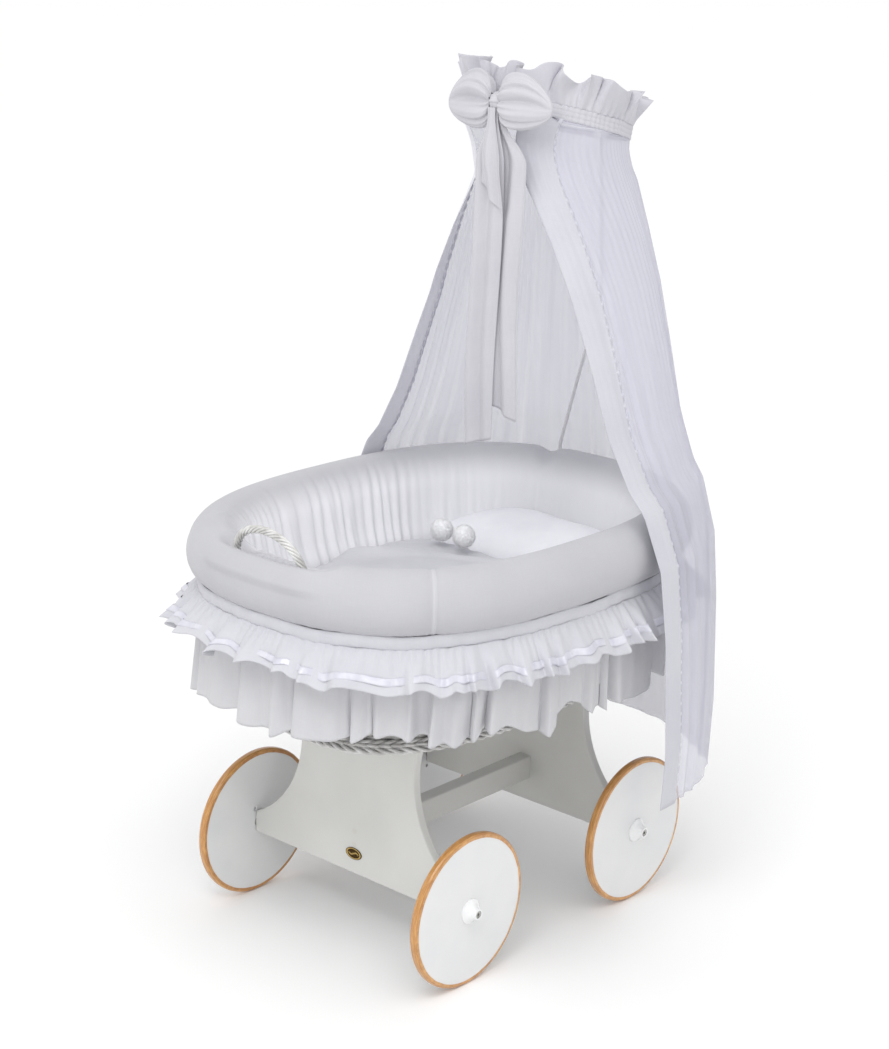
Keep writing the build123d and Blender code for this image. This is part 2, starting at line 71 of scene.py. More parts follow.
scene.view_settings.view_transform = "Standard"


def soft_light(name, place, target, size, watts):
    """Square area light at a place, turned to a target."""
    data = bpy.data.lights.new(name, "AREA")
    data.size, data.energy = size, watts
    light = bpy.data.objects.new(name, data)
    light.location = place
    light.rotation_euler = (Vector(target) - Vector(place)).to_track_quat("-Z", "Y").to_euler()
    scene.collection.objects.link(light)


soft_light("lamp", (2.4, -3.2, 2.6), (0, 0, 0.7), 2.2, 6)
soft_light("reading_lamp", (0.7, -1.7, 2.5), (-0.15, 0.25, 0.7), 0.9, 13)

sun = bpy.data.lights.new("window", "SUN")
sun.energy, sun.angle = 0.70, np.radians(50)
window = bpy.data.objects.new("window", sun)
window.rotation_euler = Vector((-0.32, 0.34, -0.88)).to_track_quat("-Z", "Y").to_euler()
scene.collection.objects.link(window)

world = bpy.data.worlds.new("surround")
world.use_nodes = True
surround = world.node_tree.nodes["Background"]
surround.inputs["Color"].default_value = (1, 1, 1, 1)
seen = world.node_tree.nodes.new("ShaderNodeLightPath")
strength = world.node_tree.nodes.new("ShaderNodeMapRange")
strength.inputs["To Min"].default_value = 0.86
strength.inputs["To Max"].default_value = 1.0
world.node_tree.links.new(seen.outputs["Is Camera Ray"], strength.inputs["Value"])
world.node_tree.links.new(strength.outputs["Result"], surround.inputs["Strength"])
scene.world = world


class Value:
    """A shader socket: + - * and ** on it add Math nodes."""

    def __init__(self, finish, socket):
        self.finish, self.socket = finish, socket

    def math(self, operation, *others):
        return self.finish.node("Math", {"operation": operation}, self, *others)

    def __add__(self, other):
        return self.math("ADD", other)

    __radd__ = __add__

    def __sub__(self, other):
        return self.math("SUBTRACT", other)

    def __rsub__(self, other):
        return self.finish.node("Math", {"operation": "SUBTRACT"}, other, self)

    def __mul__(self, other):
        return self.math("MULTIPLY", other)

    __rmul__ = __mul__

    def __pow__(self, other):
        return self.math("POWER", other)

    def clear(self, low, high):
        """0 below low, 1 above high, smooth between."""
        return self.finish.node("MapRange", {"interpolation_type": "SMOOTHSTEP"},
                                Value=self, From_Min=low, From_Max=high)


class Finish:
    """The paint, cloth or metal of one kind of piece: a Principled shader and its nodes."""

    def __init__(self, name, **skin):
        self.material = bpy.data.materials.new(name)
        self.material.use_nodes = True
        self.tree = self.material.node_tree
        self.shader = self.tree.nodes["Principled BSDF"]
        self.skin(**skin)

    def feed(self, socket, value):
        if isinstance(value, Value):
            self.tree.links.new(value.socket, socket)
        else:
            socket.default_value = value

    def node(self, kind, settings=None, *values, out=0, **named):
        made = self.tree.nodes.new("ShaderNode" + kind)
        for key, value in (settings or {}).items():
            setattr(made, key, value)
        for i, value in enumerate(values):
            self.feed(made.inputs[i], value)
        for key, value in named.items():
            self.feed(made.inputs[key.replace("_", " ")], value)
        return Value(self, made.outputs[out])

    def skin(self, **values):
        for key, value in values.items():
            self.feed(self.shader.inputs[key.replace("_", " ")], value)

    def mix(self, factor, first, second):
        """Colour that goes from first to second with factor."""
        made = self.tree.nodes.new("ShaderNodeMix")
        made.data_type = "RGBA"
        for index, value in ((0, factor), (6, first), (7, second)):
            self.feed(made.inputs[index], value)
        return Value(self, made.outputs[2])

    def place(self, kind="Object", scale=(1, 1, 1), move=(0, 0, 0)):
        """Object or UV coordinates, scaled and moved."""
        at = self.node("TexCoord", out=kind)
        return self.node("Mapping", None, Vector=at, Scale=scale, Location=move)

    def noise(self, at, scale, detail=2.0, rough=0.5):
        return self.node("TexNoise", None, Vector=at, Scale=scale, Detail=detail,
                         Roughness=rough)

    def axes(self, at):
        """The three numbers of a vector."""
        split = self.tree.nodes.new("ShaderNodeSeparateXYZ")
        self.feed(split.inputs[0], at)
        return [Value(self, out) for out in split.outputs]

    def bump(self, height, distance, strength=1.0, under=None):
        named = {"Height": height, "Distance": distance, "Strength": strength}
        if under is not None:
            named["Normal"] = under
        return self.node("Bump", None, **named)


def tint(red, green, blue):
    """Linear colour of a display colour given from 0 to 255."""
    c = np.array([red, green, blue]) / 255.0
    c = np.where(c <= 0.04045, c / 12.92, ((c + 0.055) / 1.055) ** 2.4)
    return (*c.tolist(), 1.0)


FLOOR_HALF = 60
floor_corners = [(x * FLOOR_HALF, y * FLOOR_HALF, 0)
                 for x, y in ((-1, -1), (1, -1), (1, 1), (-1, 1))]
floor_mesh = bpy.data.meshes.new("floor")
floor_mesh.from_pydata(floor_corners, [], [(0, 1, 2, 3)])
floor = bpy.data.objects.new("floor", floor_mesh)
scene.collection.objects.link(floor)
sweep = Finish("white_sweep", Base_Color=tint(250, 250, 250), Roughness=0.9)
floor_mesh.materials.append(sweep.material)


# ------------------------------------------------------------------ stand
# Two hourglass end boards and one rail, of board primed and sprayed with a grey-white
# satin lacquer. The ends of the rail are screwed on through the boards under small plugs.
def coat(finish, *nodes):
    """Give CAD pieces their finish."""
    for node in nodes:
        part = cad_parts[node]
        if not part.material_slots:
            part.data.materials.append(finish.material)
        for held in part.material_slots:
            held.material = finish.material


def lacquer(name, colour, shade, gloss):
    """Sprayed paint: faint clouds of colour, fine orange peel and softly rubbed roughness."""
    paint = Finish(name, Coat_Weight=0.12, Coat_Roughness=0.25, IOR=1.5)
    at = paint.place()
    clouds = paint.noise(at, 7.0, 4.0)
    peel = paint.noise(at, 420.0, 2.0)
    ripple = paint.noise(paint.place(scale=(1, 1, 0.25)), 38.0, 3.0)
    rub = paint.noise(at, 26.0, 5.0, 0.6)
    paint.skin(
        Base_Color=paint.mix(clouds.clear(0.35, 0.7), colour, shade),
        Roughness=rub * 0.16 + (gloss - 0.06),
        Normal=paint.bump(peel, 0.00025, 0.5, paint.bump(ripple, 0.0007, 0.35)))
    return paint


board_paint = lacquer("board_lacquer", tint(214, 214, 211), tint(208, 208, 205), 0.42)
coat(board_paint, "foot_panel", "head_panel", "rail", "base_battens")

plug_paint = lacquer("plug_paint", tint(216, 215, 209), tint(204, 203, 196), 0.5)
coat(plug_paint, "screw_plugs")


def metal(name, colour, stain, rough):
    """Turned or stamped metal: brushed streaks and patches of dull stain."""
    plate = Finish(name, Metallic=1.0)
    at = plate.place()
    patches = plate.noise(at, 120.0, 5.0, 0.6)
    streaks = plate.noise(plate.place(scale=(1, 1, 12)), 260.0, 3.0)
    plate.skin(
        Base_Color=plate.mix(patches.clear(0.4, 0.68), colour, stain),
        Roughness=patches * 0.22 + streaks * 0.12 + (rough - 0.12),
        Normal=plate.bump(streaks, 0.00015, 0.5))
    return plate


zinc = metal("zinc_steel", tint(190, 190, 186), tint(148, 147, 142), 0.3)
coat(zinc, "rail_screws", "axle_washers", "axle_screws", "socket_bolts")

# The badge is an oval of stamped brass with a raised rim and a plain sprig, gone brown in
# the low places.
badge_low, badge_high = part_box("badge")
badge_mid = (badge_low + badge_high) / 2
badge_half = (badge_high - badge_low) / 2
brass = Finish("aged_brass", Metallic=1.0)
across, _, upward = brass.axes(brass.place(
    scale=(1 / badge_half.x, 1, 1 / badge_half.z),
    move=(-badge_mid.x / badge_half.x, 0, -badge_mid.z / badge_half.z)))
rings = (across ** 2.0 + upward ** 2.0).math("SQRT")
rim_line = rings.clear(0.74, 0.8) - rings.clear(0.9, 0.96)
leaf = (upward - (across * 5.0).math("SINE") * 0.22).math("ABSOLUTE")
sprig = (1.0 - leaf.clear(0.08, 0.16)) * (1.0 - rings.clear(0.6, 0.7))
veins = (1.0 - ((across * 16.0).math("SINE") + upward * 5.0).math("ABSOLUTE").clear(0.2, 0.6))
veins = veins * (1.0 - leaf.clear(0.24, 0.34)) * (1.0 - rings.clear(0.56, 0.66))
relief = rim_line + sprig * 0.8 + veins * 0.5
wear = brass.noise(brass.place(), 300.0, 4.0)
shine = (relief * 0.75 + wear * 0.35).clear(0.25, 0.9)
brass.skin(
    Base_Color=brass.mix(shine, tint(72, 56, 30), tint(196, 166, 104)),
    Roughness=0.52 - shine * 0.2,
    Normal=brass.bump(relief, 0.0009, 1.0))
coat(brass, "badge")

# ------------------------------------------------------------------ wheels
# Solid discs of beech plywood: both faces are sprayed white, and the rounded edge is
# left as clear varnished wood. The turned caps are gloss white over a plastic bush.
WHEEL_MID = (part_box("wheel_foot_right")[0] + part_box("wheel_foot_right")[1]) / 2
WHEEL_BACK = (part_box("wheel_head_right")[0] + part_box("wheel_head_right")[1]) / 2
AXLE_HALF = (WHEEL_BACK.y - WHEEL_MID.y) / 2
STAND_MID = (WHEEL_BACK.y + WHEEL_MID.y) / 2
WHEEL_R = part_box("wheel_foot_right")[1].z - WHEEL_MID.z
PAINTED_R = WHEEL_R - 0.0085

disc = Finish("wheel_disc", IOR=1.5, Coat_Roughness=0.12)
side, fore, height = disc.axes(disc.place())
fore = (fore - STAND_MID).math("ABSOLUTE") - AXLE_HALF
height = height - WHEEL_MID.z
radius = (fore ** 2.0 + height ** 2.0).math("SQRT")
angle = fore.math("ARCTAN2", height)
wobble = disc.noise(disc.place(), 45.0, 3.0)
wood = (radius + (wobble - 0.5) * 0.0018).clear(PAINTED_R - 0.0004, PAINTED_R + 0.0004)
plies = (side.math("ABSOLUTE") * 2600.0 + wobble * 2.0).math("SINE")
figure = disc.noise(disc.place(scale=(9, 1, 1)), 34.0, 4.0, 0.6)
fibre = disc.noise(disc.place(scale=(30, 2, 2)), 60.0, 3.0, 0.65)
grain = figure * 0.55 + fibre * 0.35 + plies * 0.05
beech = disc.mix(grain.clear(0.3, 0.66), tint(176, 118, 58), tint(219, 166, 98))
haze = disc.noise(disc.place(), 9.0, 4.0)
white = disc.mix(haze.clear(0.3, 0.7), tint(229, 229, 229), tint(223, 224, 225))
soiled = (radius - PAINTED_R + 0.006).clear(0.0, 0.006) * 0.25 * haze
white = disc.mix(soiled, white, tint(205, 198, 186))
peel = disc.noise(disc.place(), 500.0, 2.0)
disc.skin(
    Base_Color=disc.mix(wood, white, beech),
    Roughness=disc.noise(disc.place(), 60.0, 4.0) * 0.14 + (0.3 - wood * 0.06),
    Coat_Weight=0.2 + wood * 0.5,
    Normal=disc.bump(wood * -1.0, 0.0004, 0.6,
                     disc.bump(peel * (1.0 - wood) + fibre * wood, 0.0003, 0.35)))
for corner in ("foot_right", "foot_left", "head_right", "head_left"):
    coat(disc, "wheel_" + corner)

cap_gloss = Finish("cap_gloss", IOR=1.5, Coat_Weight=0.5, Coat_Roughness=0.06)
turning = cap_gloss.noise(cap_gloss.place(scale=(10, 1, 1)), 90.0, 2.0)
swirl = cap_gloss.noise(cap_gloss.place(), 30.0, 4.0)
cap_gloss.skin(
    Base_Color=cap_gloss.mix(swirl.clear(0.3, 0.7), tint(243, 243, 243), tint(234, 235, 236)),
    Roughness=swirl * 0.12 + 0.16,
    Normal=cap_gloss.bump(turning, 0.0003, 0.4))
bushing = Finish("bush_nylon", Base_Color=tint(214, 212, 204))
bush_grain = bushing.noise(bushing.place(), 200.0, 3.0)
bushing.skin(Roughness=bush_grain * 0.2 + 0.35, Normal=bushing.bump(bush_grain, 0.0001, 0.5))
for corner in ("foot_right", "foot_left", "head_right", "head_left"):
    coat(cap_gloss, "hub_cap_" + corner)
    coat(bushing, "wheel_bush_" + corner)

# ------------------------------------------------------------------ wicker basket
# Peeled willow, woven wet over stakes and sprayed white: rows of weavers round the
# flaring wall, a plaited border at the foot, a wrapped rim and a twisted hoop handle.
BASKET_MID_Y = (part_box("wicker_rim")[0].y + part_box("wicker_rim")[1].y) / 2
RIM = (0.435, 0.310)
FOOT_HALF = (0.345, 0.205)
OVAL_POWER = 2.6
WALL_TOP_HALF = (0.431, 0.306)
WALL_LOW, WALL_TALL = 0.44, 0.26
WALL_INSET = 0.004
turn_table = np.linspace(0, 2 * np.pi, 16001)


def bent(c, power):
    """c to a power, keeping its sign."""
    return np.sign(c) * np.abs(c) ** power


table_x = RIM[1] * bent(np.sin(turn_table), 2 / OVAL_POWER)
table_y = RIM[0] * bent(np.cos(turn_table), 2 / OVAL_POWER)
run = np.concatenate([[0], np.cumsum(np.hypot(np.diff(table_x), np.diff(table_y)))])
RIM_LENGTH = run[-1]


def round_basket(s, out, z, half=RIM):
    """Point at share s of the way round the rim, starting at the head end and going by the
    right side: x = (b + out) sin^p, y = (a + out) cos^p of the oval's angle, at height z."""
    s, out, z = np.broadcast_arrays(s, out, z)
    angle = np.interp((s % 1.0) * RIM_LENGTH, run, turn_table)
    x = (half[1] + out) * bent(np.sin(angle), 2 / OVAL_POWER)
    y = (half[0] + out) * bent(np.cos(angle), 2 / OVAL_POWER)
    return np.stack([x, y + BASKET_MID_Y, z], -1)


def wall_oval(turn, z, weave=0.0):
    """x and y of the flaring wall's rods at an angle of its oval and height z."""
    share = (z - WALL_LOW) / WALL_TALL
    half_long, half_wide = (low + (top - low) * share - WALL_INSET + weave
                            for low, top in zip(FOOT_HALF, WALL_TOP_HALF))
    return (half_wide * bent(np.sin(turn), 2 / OVAL_POWER),
            half_long * bent(np.cos(turn), 2 / OVAL_POWER) + BASKET_MID_Y)


def join(name, place, faces, uv=None):
    """Smooth-shaded mesh object from points, faces and UVs for each corner."""
    mesh = bpy.data.meshes.new(name)
    mesh.from_pydata(place.reshape(-1, 3), [], faces)
    if uv is not None:
        mesh.uv_layers.new(name="cut").data.foreach_set("uv", uv.astype(np.float32).ravel())
    mesh.polygons.foreach_set("use_smooth", np.ones(len(mesh.polygons), bool))
    piece = bpy.data.objects.new(name, mesh)
    scene.collection.objects.link(piece)
    return piece


def grid(place, size, round_u=False, round_v=False):
    """Quads over place[u, v], facing du x dv, and UVs that run to size, in metres."""
    nu, nv = place.shape[:2]
    columns, rows = nu - (not round_u), nv - (not round_v)
    i, j = np.meshgrid(np.arange(columns), np.arange(rows), indexing="ij")
    i = np.stack([i, i + 1, i + 1, i], -1)
    j = np.stack([j, j, j + 1, j + 1], -1)
    faces = ((i % nu) * nv + j % nv).reshape(-1, 4)
    uv = np.stack([i / columns * size[0], j / rows * size[1]], -1).reshape(-1, 2)
    return faces, uv


def surface(name, place, size, round_u=False, round_v=False):
    """One grid as an object."""
    faces, uv = grid(place, size, round_u, round_v)
    return join(name, place, faces, uv)


def strands(name, paths, radius, sides=6, closed=True):
    """Round rods along paths[k, n] = points: a circle of the given radius square to the
    path at each point. Open rods narrow to a point at both ends."""
    if closed:
        ahead = np.roll(paths, -1, 1) - np.roll(paths, 1, 1)
    else:
        ahead = np.gradient(paths, axis=1)
    ahead /= np.linalg.norm(ahead, axis=-1, keepdims=True)
    across = np.cross(ahead, np.array([0.12, 0.16, 0.98]))
    across /= np.linalg.norm(across, axis=-1, keepdims=True)
    rise = np.cross(across, ahead)
    turn = np.linspace(0, 2 * np.pi, sides, endpoint=False)
    reach = np.full(paths.shape[1], 1.0)
    if not closed:
        reach[[0, -1]] = 1e-5
    reach = (reach * radius)[None, :, None, None]
    place = (paths[:, :, None] + reach * (across[:, :, None] * np.cos(turn)[:, None]
                                          - rise[:, :, None] * np.sin(turn)[:, None]))
    count = paths.shape[1] * sides
    length = np.linalg.norm(np.diff(paths[0], axis=0), axis=1).sum()
    one, uv = grid(place[0], (length, 0.02), closed, True)
    faces = np.concatenate([one[:, ::-1] + count * k for k in range(len(paths))])
    uvs = np.concatenate([uv.reshape(-1, 4, 2)[:, ::-1].reshape(-1, 2)] * len(paths))
    return join(name, place, faces, uvs)


def fit(piece, finish, body, slot, *nodes):
    """Give a new piece its finish and body, in place of its CAD nodes; slot is not used."""
    piece.data.materials.append(finish.material)
    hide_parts(*nodes)
    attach(piece, body)
    return piece


willow = Finish("painted_willow", IOR=1.5)
bark = willow.noise(willow.place("UV", scale=(0.15, 1, 1)), 320.0, 4.0, 0.6)
patch = willow.noise(willow.place(), 40.0, 5.0, 0.6)
bare = (willow.noise(willow.place(), 85.0, 5.0, 0.7)).clear(0.6, 0.74)
paint = willow.mix(patch.clear(0.35, 0.65), tint(221, 221, 220), tint(190, 189, 187))
willow.skin(
    Base_Color=willow.mix(bare * 0.55, paint, tint(168, 158, 138)),
    Roughness=0.5 + patch * 0.15,
    Normal=willow.bump(bark, 0.0012, 0.7))

dice = np.random.default_rng(7)
steps = np.arange(300) / 300
STAKES = 100
rows = 27
row_z = np.linspace(0.4435, 0.697, rows)[:, None]
phase = np.where(np.arange(rows) % 2, np.pi, 0)[:, None]
weave = np.cos(2 * np.pi * (STAKES // 2) * steps + phase) * 0.0026
wall_turn = np.interp(steps * RIM_LENGTH, run, turn_table)
wall_paths = np.stack([
    *wall_oval(wall_turn, row_z, weave),
    row_z + 0.0008 * np.sin(2 * np.pi * 6 * steps + np.arange(rows)[:, None])], -1)
wall = strands("wicker_wall_rods", wall_paths, 0.0047, 5)
fit(wall, willow, "basket", "wicker", "wicker_wall")

stake_s = (np.arange(STAKES) + 0.5) / STAKES
stake_z = np.linspace(0.437, 0.702, 9)
stake_turn = np.interp(stake_s * RIM_LENGTH, run, turn_table)[:, None]
stake_paths = np.stack([*wall_oval(stake_turn, stake_z),
                        np.broadcast_to(stake_z, (STAKES, len(stake_z)))], -1)
stakes = strands("wicker_stakes", stake_paths, 0.0024, 5, closed=False)
fit(stakes, willow, "basket", "wicker")

# The foot border is three lanes of thick rods, three to a lane, that dive under each other.
BORDER_OUT = -0.0835
BORDER_HALF = (0.351 + 0.005, 0.211 + 0.006)
border_s = np.arange(420) / 420
ply = np.arange(9)[:, None]
lane = ply // 3
plait = 2 * np.pi * (30 * border_s + ply / 3.0)
border_paths = round_basket(
    border_s,
    BORDER_OUT - 0.0035 * lane + 0.0042 * np.cos(plait),
    0.4300 + 0.0052 * (lane - 1) + 0.0042 * np.sin(plait + lane * 1.3))
border_paths[..., 0] *= BORDER_HALF[1] / (RIM[1] + BORDER_OUT)
border_paths[..., 1] = ((border_paths[..., 1] - BASKET_MID_Y) * BORDER_HALF[0] /
                        (RIM[0] + BORDER_OUT) + BASKET_MID_Y)
border = strands("wicker_border_rods", border_paths, 0.0034, 6)
fit(border, willow, "basket", "wicker", "wicker_foot_border")

# The base is woven the same way: straight rods across, under the mattress.
LAYS, LAY_STEPS = 66, 46
lay_y = np.linspace(-0.325, 0.325, LAYS)
across = np.linspace(-1, 1, LAY_STEPS)
reach_x = 0.206 * (1 - (np.abs(lay_y) / 0.346) ** OVAL_POWER) ** (1 / OVAL_POWER)
base_paths = np.stack([
    reach_x[:, None] * across,
    np.broadcast_to((lay_y + BASKET_MID_Y)[:, None], (LAYS, LAY_STEPS)),
    0.426 + 0.0012 * np.cos(np.pi * np.arange(LAY_STEPS)
                            + np.pi * (np.arange(LAYS)[:, None] % 2))], -1)
base = strands("wicker_base_rods", base_paths, 0.0046, 5, closed=False)
fit(base, willow, "basket", "wicker", "wicker_base")

rim_s = np.arange(480) / 480
RIM_WRAP, RIM_Z = 0.0036, 0.7074
rim_twist = 2 * np.pi * (62 * rim_s + np.arange(4)[:, None] / 4)
rim_paths = round_basket(rim_s, RIM_WRAP * np.cos(rim_twist), RIM_Z + RIM_WRAP * np.sin(rim_twist))
rim = strands("wicker_rim_rods", rim_paths, 0.0034, 6)
fit(rim, willow, "basket", "wicker", "wicker_rim")

# The hoop handle: six rods twisted round each other, springing from the rim on the
# foot end and leaning a little outwards.
HOOP_HALF = 0.083
HOOP_FOOT, HOOP_TOP = 0.708, 0.812
HOOP_RODS, HOOP_LAY = 6, 0.062
hoop_t = np.linspace(0, 1, 150)
hoop_x = -HOOP_HALF * np.cos(np.pi * hoop_t) * (1 + 0.10 * np.sin(np.pi * hoop_t) ** 2)
hoop_rise = np.sin(np.pi * hoop_t) ** 0.72
hoop_y0 = BASKET_MID_Y - RIM[0] * (1 - (HOOP_HALF / RIM[1]) ** OVAL_POWER) ** (1 / OVAL_POWER)
hoop = np.stack([hoop_x, hoop_y0 - 0.026 * hoop_rise,
                 HOOP_FOOT + (HOOP_TOP - HOOP_FOOT) * hoop_rise], -1)
hoop_ahead = np.gradient(hoop, axis=0)
hoop_ahead /= np.linalg.norm(hoop_ahead, axis=1, keepdims=True)
hoop_side = np.cross(hoop_ahead, np.array([0, 1.0, 0]))
hoop_side /= np.linalg.norm(hoop_side, axis=1, keepdims=True)
hoop_out = np.cross(hoop_side, hoop_ahead)
hoop_run = np.concatenate([[0], np.cumsum(np.linalg.norm(np.diff(hoop, axis=0), axis=1))])
hoop_twist = (2 * np.pi * (hoop_run / HOOP_LAY
                           + np.arange(HOOP_RODS)[:, None] / HOOP_RODS))[..., None]
hoop_paths = hoop + 0.0050 * (hoop_side * np.cos(hoop_twist) + hoop_out * np.sin(hoop_twist))
handle = strands("handle_rods", hoop_paths, 0.0023, 7, closed=False)
fit(handle, willow, "basket", "wicker", "handle")


# ------------------------------------------------------------------ bumper
# One cotton cover, filled with wadding: a fat roll over the rim, drawn in gathers down
# the inside to the bedding. It is slit for the handle at the foot and tied at the rod.
def cotton(name, light, dark, thread=0.0011, wrinkle=0.0016, rough=0.85, sheen=0.25):
    """Plain weave: sin(u) sin(v) threads in the cloth's own UVs with long slubs, over
    creases that run with the folds, and faint clouds of shade."""
    cloth = Finish(name, Sheen_Weight=sheen, Sheen_Roughness=0.5, IOR=1.4,
                   Subsurface_Weight=0.0)
    u, v, _ = cloth.axes(cloth.place("UV"))
    warp = (u * (2 * np.pi / thread)).math("SINE")
    weft = (v * (2 * np.pi / thread)).math("SINE")
    slub = cloth.noise(cloth.place("UV", scale=(40, 900, 1)), 1.0, 3.0)
    slub = slub + cloth.noise(cloth.place("UV", scale=(900, 40, 1)), 1.0, 3.0)
    cloud = cloth.noise(cloth.place(), 9.0, 4.0)
    crease = cloth.noise(cloth.place("UV", scale=(30, 9, 1)), 1.0, 4.0, 0.55)
    crush = cloth.noise(cloth.place(), 55.0, 5.0, 0.6)
    shade = cloud.clear(0.3, 0.75) * 0.6 + slub.clear(0.7, 1.3) * 0.4
    cloth.skin(
        Base_Color=cloth.mix(shade, light, dark),
        Roughness=slub * 0.08 + (rough - 0.08),
        Normal=cloth.bump(warp * weft * 0.5 + slub * 0.6, thread * 0.22, 0.5,
                          cloth.bump(crease * 0.6 + crush * 0.4, wrinkle, 0.55)))
    return cloth


def waves(s, counts, seed, fade=0.0):
    """Sum of sines with whole counts round the oval, random sizes and phases, about -1 to 1."""
    dice = np.random.default_rng(seed)
    counts = np.asarray(list(counts))
    size = dice.uniform(0.4, 1.0, len(counts)) / (1 + fade * np.arange(len(counts)))
    start = dice.uniform(0, 2 * np.pi, len(counts))
    total = (size * np.sin(2 * np.pi * np.asarray(s)[..., None] * counts + start)).sum(-1)
    return total / np.sqrt((size ** 2).sum())


def hump(s, middle, width):
    """Bell round the oval, 1 at the middle."""
    gap = (np.asarray(s) - middle + 0.5) % 1.0 - 0.5
    return np.exp(-(gap / width) ** 2)


SEAM_S = 0.383
s = (np.arange(1040) / 1040)[:, None]
# Section from the top, over the outside, under the rim and up the inside:
# (out from the rim, height, share of gathers).
section = np.array([
    (0.000, 0.7760, 0.00), (0.016, 0.7735, 0.00), (0.030, 0.7640, 0.00), (0.041, 0.7480, 0.00),
    (0.047, 0.7300, 0.00), (0.048, 0.7130, 0.00), (0.045, 0.6970, 0.05), (0.039, 0.6840, 0.15),
    (0.031, 0.6750, 0.20), (0.022, 0.6720, 0.10), (0.018, 0.6870, 0.00), (0.017, 0.7150, 0.00),
    (0.010, 0.7270, 0.00), (-0.006, 0.7270, 0.00), (-0.013, 0.7150, 0.00),
    (-0.022, 0.6700, 0.00), (-0.043, 0.6250, 0.00), (-0.060, 0.5800, 0.00),
    (-0.072, 0.5450, 0.00), (-0.080, 0.5400, 0.30), (-0.088, 0.5480, 0.70),
    (-0.081, 0.5800, 1.00), (-0.072, 0.6150, 1.00), (-0.060, 0.6500, 1.00),
    (-0.053, 0.6850, 0.90), (-0.048, 0.7150, 0.70), (-0.040, 0.7420, 0.45),
    (-0.027, 0.7620, 0.22), (-0.013, 0.7730, 0.08)])
knots = np.concatenate([section, section[:1]])
knot_run = np.concatenate([[0], np.cumsum(np.hypot(*np.diff(knots[:, :2], axis=0).T))])
knot_run /= knot_run[-1]
v = np.arange(96) / 96


def closed_curve(v, column):
    """Smooth closed curve through the section's points, by Catmull-Rom."""
    values, n = section[:, column], len(section)
    k = np.clip(np.searchsorted(knot_run, v, side="right") - 1, 0, n - 1)
    t = (v - knot_run[k]) / (knot_run[k + 1] - knot_run[k])
    a, b, c, d = (values[(k + i) % n] for i in (-1, 0, 1, 2))
    return 0.5 * (2 * b + (c - a) * t + (2 * a - 5 * b + 4 * c - d) * t ** 2
                  + (3 * b - 3 * c + d - a) * t ** 3)


out, z, gather = (closed_curve(v, column)[None] for column in range(3))
gather = np.clip(gather, 0, 1)
# Long gathers down the inside, strongest on the far side and at the foot, least at the head.
strong = 0.25 + 0.75 * np.clip(hump(s, 0.72, 0.17) + 0.8 * hump(s, 0.52, 0.10)
                               + 0.45 * hump(s, 0.40, 0.05), 0, 1)
strong *= 1 - 0.75 * hump(s, 0.0, 0.09)
pleats = waves(s, range(52, 118, 3), 11) * 0.6 + waves(s, range(14, 44, 3), 12) * 0.5
deep = 0.0042 * strong * gather * pleats
slow = waves(s + 0.004 * np.sin(9 * z), range(90, 150, 7), 13) * 0.0010 * gather * strong
out = out - deep - slow
# The outside is smooth and full, with a few shallow dimples along the lower seam.
outside = ((v > 0.10) & (v < 0.33))[None] * np.sin(np.pi * np.clip((v - 0.10) / 0.23, 0, 1))
out = out + 0.0010 * waves(s, range(5, 23, 2), 14) * outside
low_edge = np.exp(-((v - 0.262) / 0.05) ** 2)[None]
pinch = 1.8 * hump(s, SEAM_S - 0.012, 0.035) + 0.35 * hump(s, 0.26, 0.05) + 0.2
out = out - 0.0028 * np.abs(waves(s, range(70, 150, 9), 15)) * low_edge * pinch
# Seams: a welt across the near side, one at the far foot corner, one at the near head corner.
for middle, depth in ((SEAM_S, 0.0036), (0.600, 0.0016), (0.10, 0.0012)):
    welt = hump(s, middle, 0.0011) * 0.6 - hump(s, middle, 0.0042)
    above = np.clip((z - 0.735) / 0.04, -0.2, 1)
    out = out + depth * welt * np.sign(out) * (0.4 + 0.6 * (1 - above))
    z = z + depth * welt * np.clip(above, 0, 1)
# The head end stands a little fuller, the handle slit parts the roll down to the rim.
z = z + 0.003 * hump(s, 0.0, 0.07) * np.clip((z - 0.70) / 0.07, 0, 1)
slit = np.clip((hump(s, 0.5, 0.060) - 0.40) / 0.35, 0, 1)
slit = slit * slit * (3 - 2 * slit)
inside_slit = np.exp(-((out + 0.009) / 0.022) ** 4) * (z > 0.73)
z = z - slit * inside_slit * np.clip(z - 0.7255, 0, 1)
out = out + slit * (z > 0.735) * np.sign(out + 0.009) * 0.006
# The cover is drawn together where the rod leaves it, and a crease runs down from there.
ROD_S = 0.955
out = out - 0.010 * hump(s, ROD_S, 0.006) * gather
z = z - 0.010 * hump(s, ROD_S, 0.007) * np.clip((z - 0.74) / 0.03, 0, 1)
COVER_GIRTH = 0.62
bumper = surface("bumper_cover", round_basket(s, out, z), (RIM_LENGTH, COVER_GIRTH), True, True)
# The roll's cotton is tinted greyer than the frills' cotton of the same kind: painted shade on the
# roll's side that faces away from the light.
bumper_cotton_painted_shading = cotton("bumper_cotton_painted_shading", tint(191, 191, 195), tint(184, 184, 189))
length, girth, _ = bumper_cotton_painted_shading.axes(bumper_cotton_painted_shading.place("UV"))
outer_shade = Value(bumper_cotton_painted_shading, bumper_cotton_painted_shading.shader.inputs["Base Color"].links[0].from_socket)
